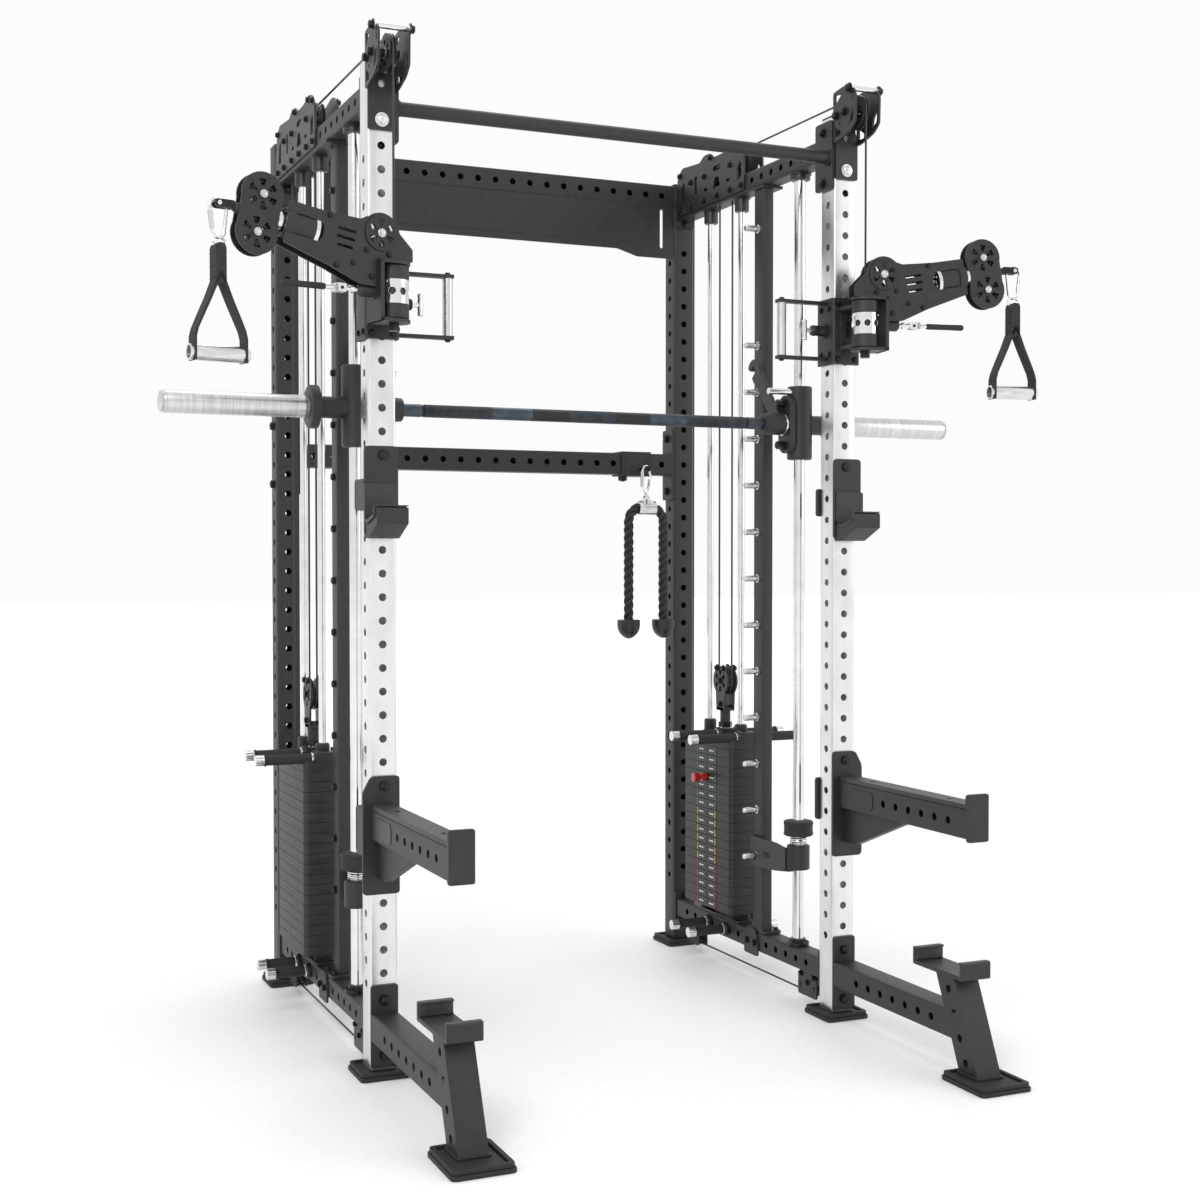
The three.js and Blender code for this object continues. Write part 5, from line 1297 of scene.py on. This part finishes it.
def makeCarriage():
    c = carriageSpec
    sleeve = Shape()
    sleeve.squareTube((532.8, 607.2), (-7.2, 67.2), c["z"], "z", coat, wall=6, corner=7)
    pair(sleeve, "sleeve", "arm_carriage", "arm_carriage", 0.0,
         [((side, -10, 1610), (0, 0, 34), 3, "y", 4, 20)])
    gear = Shape()
    for z in (1598, 1690):
        gear.plate(rounded([(544, 0), (596, 0), (596, -70), (589, -88), (551, -88), (544, -70)], 6),
                   [circle(side, -46, 9, 20)], onFloor, z, z + 8, coat)
    gear.plate(rounded([(548, 1602), (592, 1602), (592, 1694), (548, 1694)], 5),
               [slotHole(side, 1648, 40, 16, 90)], onFace, -14, -7, coat)
    for z0, z1 in ((c["drum"][0], c["ring"][0]), (c["ring"][1], c["drum"][1])):
        gear.rod((side, -88, z0), (side, -88, z1), c["drumRadius"], coat, 40)
    gear.rod((side, -88, c["ring"][0]), (side, -88, c["ring"][1]), 27, nylon, 32)
    verts, faces = [], []
    ringHoles = 8
    outer = 31.0
    mid = (c["ring"][0] + c["ring"][1]) / 2
    half = (c["ring"][1] - c["ring"][0]) / 2
    for k in range(ringHoles):                            # a chrome ring with round windows
        a0, a1 = 2 * math.pi * k / ringHoles, 2 * math.pi * (k + 1) / ringHoles
        wide = (a1 - a0) / 2
        rim, hole = [], []
        for i in range(24):
            angle = 2 * math.pi * i / 24
            c1, s1 = math.cos(angle), math.sin(angle)
            grow = 1 / max(abs(c1), abs(s1))
            rim.append((a0 + wide + wide * c1 * grow, mid + half * s1 * grow))
            hole.append((a0 + wide + 7.6 / outer * c1, mid + 7.6 * s1))
        start = len(verts)
        for radius in (outer, outer - 3):
            for loop in (rim, hole):
                verts += [(side + radius * math.cos(a), -88 + radius * math.sin(a), z) for a, z in loop]
        for i in range(24):
            j = (i + 1) % 24
            faces.append((start + i, start + j, start + 24 + j, start + 24 + i))
            faces.append((start + 24 + i, start + 24 + j, start + 72 + j, start + 72 + i))
    gear.add(verts, faces, chrome, True)
    gear.rod((c["grabX"], 30, c["grabZ"][0] - 4), (c["grabX"], 30, c["grabZ"][1] + 4), 11, satin, 28)
    for z in (c["grabZ"][0] - 6, c["grabZ"][1] - 2):
        gear.plate(rounded([(402, 17), (440, 21), (534, 21), (534, 39), (440, 39), (402, 43)], 5), [],
                   onFloor, z, z + 8, coat)
    z = c["plungerZ"]
    gear.turned((533, 30, z), (496, 30, z), [(0, 17), (4, 17), (5, 13), (9, 13), (10, 12.4), (30, 12.4),
                                             (31, 13.4), (37, 12)], boltBlack, 24)
    pair(gear, "carriageGear", "arm_carriage", "arm_carriage", 0.6)
    spots = [((x, -7.2, z), toFront) for x in (546, 594) for z in (1578, 1710)]
    spots += [((607.2, y, z), outside) for y in (12, 48) for z in (1582, 1706)]
    spots += [((532.8, y, z), inside) for y in (12, 48) for z in (1590, 1698)]
    bolts("carriageBolts", "arm_carriage", "arm_carriage", spots, 6, 4.5, 7.5, 20)
    bolts("ringScrews", "arm_carriage", "arm_carriage",
          [((side + 31 * math.cos(a), -88 + 31 * math.sin(a), 1670), (math.cos(a), math.sin(a), 0))
           for a in (2 * math.pi * k / 8 for k in range(8))],
          2, 1.2, 2.6, 12, chrome)
    bolts("grabScrews", "arm_carriage", "arm_carriage",
          [((c["grabX"], 30, c["grabZ"][1] + 6), upward), ((c["grabX"], 30, c["grabZ"][0] - 6), downward)],
          6, 4, 8, 12)
    pin = Shape()
    pin.rod((476, 30, z), (537, 30, z), 5.5, chrome, 20)
    pin.turned((476, 30, z - 24), (476, 30, z + 24),
               [(0, 4.5), (2, 6.5), (10, 5.6), (24, 7), (38, 5.6), (46, 6.5), (48, 4.5)], chrome, 20)
    pair(pin, "popPin", "pop_pin", "pop_pin")
    print("carriages made")


makeCarriage()


# swinging arm
armSpec = dict(cheek=(15.5, 19.5), boss=(38, 1765), bossRadius=42, yoke=(37.5, 45.5), tubeRadius=27,
               tubeBore=21, tip=-54, back=-120)


def armPoint(r, z, t=0.0):
    return onArm(r, z, t)


def makeArm():
    a = armSpec
    tipTop, tipLow = swivel(a["tip"], 42), swivel(a["tip"], -42)
    outline = [(-34, 1712.5), (46, 1712.5), (46, 1656), (87, 1659), (149, 1688), tipLow,
               (swivel(a["tip"], 0)), tipTop, (160, 1797), (84, 1790)]
    outline += [(a["boss"][0] + a["bossRadius"] * math.cos(math.radians(g)),
                 a["boss"][1] + a["bossRadius"] * math.sin(math.radians(g))) for g in range(45, 176, 10)]
    outline += [(-34, 1738)]
    bore = swivel(-86, 0)
    window = rounded([swivel(-136, 20), swivel(-136, -20), swivel(-64, -22), swivel(-64, 22)], 17)
    cuts = [slotHole(112, 1764, 42, 6, 10), slotHole(116, 1748, 42, 6, 10), slotHole(118, 1731, 36, 6, 10),
            circle(137, 1692, 3.5, 12), circle(60, 1676, 4, 12)]
    arm = Shape()
    for turn in (-1, 1):
        t0, t1 = sorted((turn * a["cheek"][0], turn * a["cheek"][1]))
        arm.plate(rounded(outline, 3, 2), cuts + [window] + petals(*a["boss"], 12, 30), onArm, t0, t1, laser)
        disc0, disc1 = sorted((turn * 19.7, turn * 22.5))
        rosette = circle(a["boss"][0], a["boss"][1], 36, 36)
        arm.plate(rosette, petals(*a["boss"], 13, 29), onArm, disc0, disc1, nylon)
    arm.rod(armPoint(*a["boss"], -26), armPoint(*a["boss"], 26), 9, satin, 24)
    yoke = [armPoint(r, z, t) for r in a["yoke"] for t in (-34, 34) for z in (1587.5, 1712.5)]
    arm.add(yoke, [(0, 1, 3, 2), (4, 6, 7, 5), (0, 4, 5, 1), (2, 3, 7, 6), (0, 2, 6, 4), (1, 5, 7, 3)], coat)
    for z0, z1 in ((1587.5, 1594.5), (1705.5, 1712.5)):
        ring = [armPoint(46, 0, -34)[:2], armPoint(46, 0, 34)[:2]]
        base = math.degrees(math.atan2(outY, outX))
        ring += [(side + 34 * math.cos(math.radians(base - 90 - 15 * k)),
                  -88 + 34 * math.sin(math.radians(base - 90 - 15 * k))) for k in range(13)]
        arm.plate(ring, [], onFloor, z0, z1, coat)
    arm.pipe(armPoint(*swivel(a["back"], 0)), armPoint(*swivel(a["tip"], 0)), a["tubeRadius"],
             a["tubeBore"], coat, 36)
    arm.pipe(armPoint(*swivel(a["tip"] - 16, 0)), armPoint(*swivel(a["tip"] + 2, 0)), a["tubeRadius"] + 3,
             a["tubeRadius"] - 1, laser, 36)
    arm.pipe(armPoint(*swivel(-124, 0)), armPoint(*swivel(-116, 0)), a["tubeRadius"] + 2, a["tubeBore"] - 2,
             chrome, 36)
    arm.rod(armPoint(0, 1572), armPoint(0, 1588), 12, boltBlack, 6)
    arm.turned(armPoint(43, 1650), armPoint(82, 1650), [(0, 17), (5, 17), (6, 14), (34, 14), (39, 10)],
               coat, 28)
    arm.rod(armPoint(80, 1650), armPoint(121, 1650), 5, chrome, 20)
    arm.rod(armPoint(90, 1650), armPoint(98, 1650), 8, chrome, 6)
    pair(arm, "armBody", "arm", "arm", 0.5)
    front = armPoint(0, 0, 1)
    ahead = (front[0] - side, front[1] + 88, 0)
    behind = tuple(-v for v in ahead)
    spots = []
    for r, z in ((137, 1692), (60, 1676), (100, 1700), (70, 1728), (20, 1724), (150, 1790), (215, 1770)):
        spots += [(armPoint(r, z, 19.5), ahead), (armPoint(r, z, -19.5), behind)]
    bolts("armBolts", "arm", "arm", spots, 5, 4, 6.5)
    spots = [(armPoint(*a["boss"], 26), ahead), (armPoint(*a["boss"], -26), behind)]
    bolts("armAxleNuts", "arm", "arm", spots, 5.5, 3, 8, 6, satin)
    lever = Shape()
    pivot = 119.5
    for t in (-9, 5.3):
        lever.plate(rounded([(pivot - 11, 1641), (pivot + 16, 1641), (pivot + 16, 1659),
                             (pivot - 11, 1659)], 6), [], onArm, t, t + 3.7, chrome)
    lever.plate(rounded([(pivot + 8, 1642), (pivot + 16, 1642), (pivot + 16, 1658), (pivot + 8, 1658)], 2),
                [], onArm, -9, 9, chrome)
    lever.rod(armPoint(pivot, 1650, -11), armPoint(pivot, 1650, 11), 3.4, boltBlack, 16)
    lever.rod(armPoint(pivot + 14, 1650), armPoint(pivot + 40, 1650), 4.4, chrome, 16)
    lever.turned(armPoint(pivot + 34, 1650), armPoint(pivot + 128, 1650),
                 [(0, 5.5), (3, 6.8), (50, 6.4), (90, 7), (94, 5)], rubber, 20)
    pair(lever, "indexLever", "index_lever", "index_lever", 0.4)
    print("arms made")


makeArm()


# swivel head and strap handle
headSpec = dict(half=38, round=44, cheek=(11, 15), hang=(377, 1789))
handleSpec = dict(r=377, clip=(1722, 1802), gripZ=1500, gripHalf=56, wide=17)


def makeHead():
    h = headSpec
    rise = math.degrees(armTurn)
    shape = Shape()
    upper, lower = swivel(0, h["half"]), swivel(0, -h["half"])
    outline = [(upper[0] + h["round"] * math.cos(math.radians(rise + q)),
                upper[1] + h["round"] * math.sin(math.radians(rise + q))) for q in range(-18, 199, 12)]
    outline += [(lower[0] + h["round"] * math.cos(math.radians(rise + q)),
                 lower[1] + h["round"] * math.sin(math.radians(rise + q))) for q in range(162, 379, 12)]
    for turn in (-1, 1):
        holes = petals(*upper, 14, 31) + petals(*lower, 14, 31)
        t0, t1 = sorted((turn * h["cheek"][0], turn * h["cheek"][1]))
        shape.plate(outline, holes, onArm, t0, t1, laser)
    for centre in (upper, lower):
        wheel(shape, onArm, centre[0], centre[1], 35, spokes=6, half=6, hub=satin)
        shape.rod(armPoint(*centre, -20), armPoint(*centre, 20), 7, satin, 24)
    shape.pipe(armPoint(*swivel(-114, 0)), armPoint(*swivel(-40, 0)), 19, 9, chrome, 32)
    shape.turned(armPoint(*swivel(10, 0)), armPoint(*swivel(54, 0)),
                 [(0, 8), (2, 12), (30, 12), (38, 9), (44, 6)], nylon, 24)
    for t0, t1 in ((6, 10), (-10, -6)):
        shape.plate(rounded([(344, 1781), (386, 1781), (386, 1797), (344, 1797)], 7), [], onArm, t0, t1,
                    boltBlack)
    shape.rod(armPoint(*h["hang"], -13), armPoint(*h["hang"], 13), 4.5, chrome, 20)
    pair(shape, "headBody", "swivel_head", "swivel_head", 0.4)
    front = armPoint(0, 0, 1)
    ahead = (front[0] - side, front[1] + 88, 0)
    behind = tuple(-v for v in ahead)
    spots = [(armPoint(*centre, w * 20), ahead if w > 0 else behind) for centre in (upper, lower)
             for w in (1, -1)]
    bolts("headAxleNuts", "swivel_head", "swivel_head", spots, 5.5, 3, 8, 6, satin)


def makeHandle():
    g = handleSpec
    shape = Shape()
    r = g["r"]
    loop = []
    low, high = g["clip"]
    for k in range(41):
        q = 2 * math.pi * k / 40
        radius = 17 if math.sin(q) > 0 else 12
        z = (high - 21 if math.sin(q) > 0 else low + 14) + radius * math.sin(q)
        loop.append(armPoint(r + radius * math.cos(q), z))
    shape.sweep(loop, 3.6, chrome, 12)
    shape.pipe(armPoint(r + 12.6, 1741), armPoint(r + 16.2, 1774), 4.8, 3.4, satin, 16)
    shape.sweep([armPoint(r + 12 * math.cos(q), 1716 + 9 * math.sin(q))
                 for q in [2 * math.pi * k / 24 for k in range(25)]], 2.6, chrome, 8)
    pair(shape, "handleClip", "strap_handle", "strap_handle")
    strap = Shape()
    w = g["wide"]
    strap.plate(rounded([(r - 11, 1634), (r + 11, 1634), (r + 11, 1704), (r + 7, 1712), (r - 7, 1712),
                         (r - 11, 1704)], 4), [], onArm, -w, w, webbing)
    for z in (1644, 1668, 1692):
        strap.plate(rounded([(r - 12.2, z), (r + 12.2, z), (r + 12.2, z + 1.6), (r - 12.2, z + 1.6)], 0.6),
                    [], onArm, -w + 1, w - 1, ropeFibre)
    for s in (-1, 1):
        outer = [(r + s * x, z) for x, z in ((2, 1660), (11, 1640), (24, 1606), (39, 1572), (50, 1546),
                                             (54, 1530), (54, 1490), (54, 1484))]
        inner = [(r + s * x, z) for x, z in ((49, 1484), (49, 1530), (45, 1546), (34, 1570), (19, 1603),
                                             (6, 1634), (-2, 1650))]
        strap.plate(outer + inner, [], onArm, -w, w, webbing)
    pair(strap, "handleStrap", "strap_handle", "strap_handle", 0.6)
    bar = Shape()
    z = g["gripZ"]
    half = g["gripHalf"] + 4
    profile = [(6, 12), (0, 12.4), (0, 14.4), (1.5, 16), (2 * half - 1.5, 16), (2 * half, 14.4),
               (2 * half, 12.4), (2 * half - 6, 12), (6, 12)]
    bar.turned(armPoint(r - half, z), armPoint(r + half, z), profile, grip, 32)
    for s in (-1, 1):
        bar.rod(armPoint(r + s * (half - 9), z), armPoint(r + s * (half - 4), z), 12.3, nylon, 24)
    pair(bar, "handleGrip", "strap_handle", "strap_handle")
    print("heads and handles made")


makeHead()
makeHandle()


# guided barbell
barSpec = dict(y=210, z=1438, carriage=(1351, 1533), sleeveEnd=1000, hub=(462, 524), hookTurn=20)


def makeBarbell():
    b = barSpec
    y, z = b["y"], b["z"]
    shape = Shape()
    low, high = b["carriage"]
    shape.turned((side, y, low), (side, y, high), [(0, 15), (0, 28), (3, 31), (high - low - 3, 31),
                                                   (high - low, 28), (high - low, 15), (0, 15)], coat, 40)
    bearing = circle(y, z + 42, 30, 36)[0:19] + circle(y, z - 42, 30, 36)[18:37]
    shape.plate(bearing, [circle(y, z, 16, 32)], onSide, 526, 541, coat)
    shape.block((540, 566), (y - 20, y + 20), (z - 60, z + 60), coat, 4)
    shape.rod((590, y, z), (655, y, z), 24, coat, 36)
    shape.turned((655, y, z), (677, y, z), [(0, 40), (2, 48), (20, 48), (22, 44)], coat, 48)
    shape.turned((677, y, z), (b["sleeveEnd"], y, z), [(0, 22.5), (6, 22.5), (8, 25), (308, 25), (312, 24),
                                                       (312.5, 22.5), (315, 22.5), (316, 24.4), (320, 21),
                                                       (322.5, 12), (323, 3)], satin, 44)
    shape.rod((478, y - 4, 1519), (544, y - 4, 1519), 8, chrome, 24)
    pair(shape, "barbellCarriage", "smith_carriages", "smith_carriage", 0.6)
    spots = [((526, y, z + dz), inside) for dz in (52, -52)]
    bolts("bearingBolts", "smith_carriages", "smith_carriage", spots, 10, 22, 12)
    bar = Shape()
    r = 14.5
    bar.rod((-540, y, z), (540, y, z), 12, boltBlack, 28)
    cuts = [(-462, -418, barSteel), (-418, -412, boltBlack), (-412, -250, knurl), (-250, -150, barSteel),
            (-150, -62, barBlack), (-62, 62, knurl),
            (62, 150, barBlack), (150, 250, barSteel), (250, 412, knurl), (412, 418, boltBlack),
            (418, 462, barSteel)]
    for x0, x1, material in cuts:
        shrink = 0.8 if material is boltBlack else 0
        bar.turned((x0, y, z), (x1, y, z), [(0, r - shrink - 0.5), (0.6, r - shrink),
                                            (x1 - x0 - 0.6, r - shrink), (x1 - x0, r - shrink - 0.5)],
                                            material, 36)
    for w in (-1, 1):
        h0, h1 = w * b["hub"][0], w * b["hub"][1]
        bar.turned((h0, y, z), (h1, y, z), [(0, 20), (2, 26), (12, 27), (50, 27), (52, 25), (62, 25)], coat,
                   40)
    reach = math.hypot(165, 1533 - z)
    angle0 = math.atan2(1533 - z, 165) + math.radians(b["hookTurn"])

    # along runs from the barbell to the latch peg, up is square to it
    def hook(along, up):
        return (y + along * math.cos(angle0) - up * math.sin(angle0),
                z + along * math.sin(angle0) + up * math.cos(angle0))
    slot, head, neck, mouth = 9.6, 28, 16, 18
    outline = [hook(8, -24), hook(60, -neck), hook(reach - head - 8, -neck),
               hook(reach - head + 3, -mouth - 2), hook(reach - slot, -mouth)]
    outline += [hook(reach + slot * math.cos(math.radians(q)), slot * math.sin(math.radians(q)))
                for q in range(180, -1, -15)]
    outline += [hook(reach + slot, 4 - mouth)]
    outline += [hook(reach + head * math.cos(math.radians(q)), head * math.sin(math.radians(q)))
                for q in range(-38, 141, 9)]
    outline += [hook(60, neck), hook(8, 24)]
    for w in (-1, 1):
        x = sorted((w * 506, w * 518))
        bar.plate(rounded(outline, 2, 2), [], onSide, x[0], x[1], coat)
        bar.pipe((w * 519, y, z), (w * 524, y, z), 28, 20, chrome, 40)
    single(bar, "barbell", "smith_bar", "smith_bar", 0.5)
    stop = Shape()
    stop.turned((side, y, 324), (side, y, 385),
                [(0, 15), (0, 26), (2, 28.5), (59, 28.5), (61, 26), (61, 15), (0, 15)], coat, 40)
    coil = []
    for k in range(97):
        q = 2 * math.pi * k / 24
        coil.append((side + 19 * math.cos(q), y + 19 * math.sin(q), 387.5 + 22 * k / 96))
    stop.sweep(coil, 2.4, chrome, 8)
    stop.turned((side, y, 385), (side, y, 411), [(0, 15), (0, 16.3), (26, 16.3), (26, 15), (0, 15)], satin,
                32)
    stop.turned((side, y, 409), (side, y, 446), [(0, 15), (0, 34), (3, 37), (8, 37), (9, 36), (28, 36),
                                                 (29, 37), (34, 37), (37, 34), (37, 15), (0, 15)], rubber, 44)
    web = [(y + 8, 318), (y + 60, 312), (y + 187, 305), (y + 187, 322), (y + 150, 323), (y + 150, 343),
           (y + 187, 344), (y + 187, 385), (y + 60, 382), (y + 8, 376)]
    stop.plate(rounded(web, 5), [slotHole(y + 100, 345, 40, 14)], onSide, 536, 544, coat)
    stop.block((540, 566), (y + 2, y + 26), (318, 376), coat, 4)
    pair(stop, "barbellStop", "smith_stop", "smith_stop", 0.6)
    print("barbell made")


makeBarbell()


# floor
# the floor brightens with distance through a painted glow, a white emission growing away from the middle, so
# it runs into the backdrop without an edge
def paintedGlowFloor(material):
    nodes, links = material.node_tree.nodes, material.node_tree.links
    spot = nodes.new("ShaderNodeTexCoord")
    away = nodes.new("ShaderNodeVectorMath")
    away.operation = "LENGTH"
    paintedGlow = nodes.new("ShaderNodeMapRange")
    paintedGlow.inputs["From Min"].default_value = studio["paintedGlowFrom"]
    paintedGlow.inputs["From Max"].default_value = studio["paintedGlowTo"]
    paintedGlow.inputs["To Max"].default_value = studio["paintedGlowPower"]
    links.new(spot.outputs["Object"], away.inputs[0])
    links.new(away.outputs["Value"], paintedGlow.inputs["Value"])
    shader = nodes["Principled BSDF"]
    # painted light: a white emission glow on the floor, stronger with distance from the middle
    shader.inputs["Emission Color"].default_value = (1, 1, 1, 1)
    links.new(paintedGlow.outputs["Result"], shader.inputs["Emission Strength"])


def makeFloor():
    mesh = bpy.data.meshes.new("floor")
    half = studio["floorSize"]
    mesh.from_pydata([(-half, -half, -0.0005), (half, -half, -0.0005), (half, half, -0.0005),
                      (-half, half, -0.0005)], [], [(0, 1, 2, 3)])
    pale = finish("paleFloorPaintedGlow", (0.86, 0.86, 0.86), (0.9, 0.9, 0.9), (0.55, 0.65), bump=(20, 0.0))
    # painted glow: emission on the floor, brighter farther out
    paintedGlowFloor(pale)
    mesh.materials.append(pale)
    floor = bpy.data.objects.new("floor", mesh)
    bpy.context.collection.objects.link(floor)


makeFloor()
print("scene made")
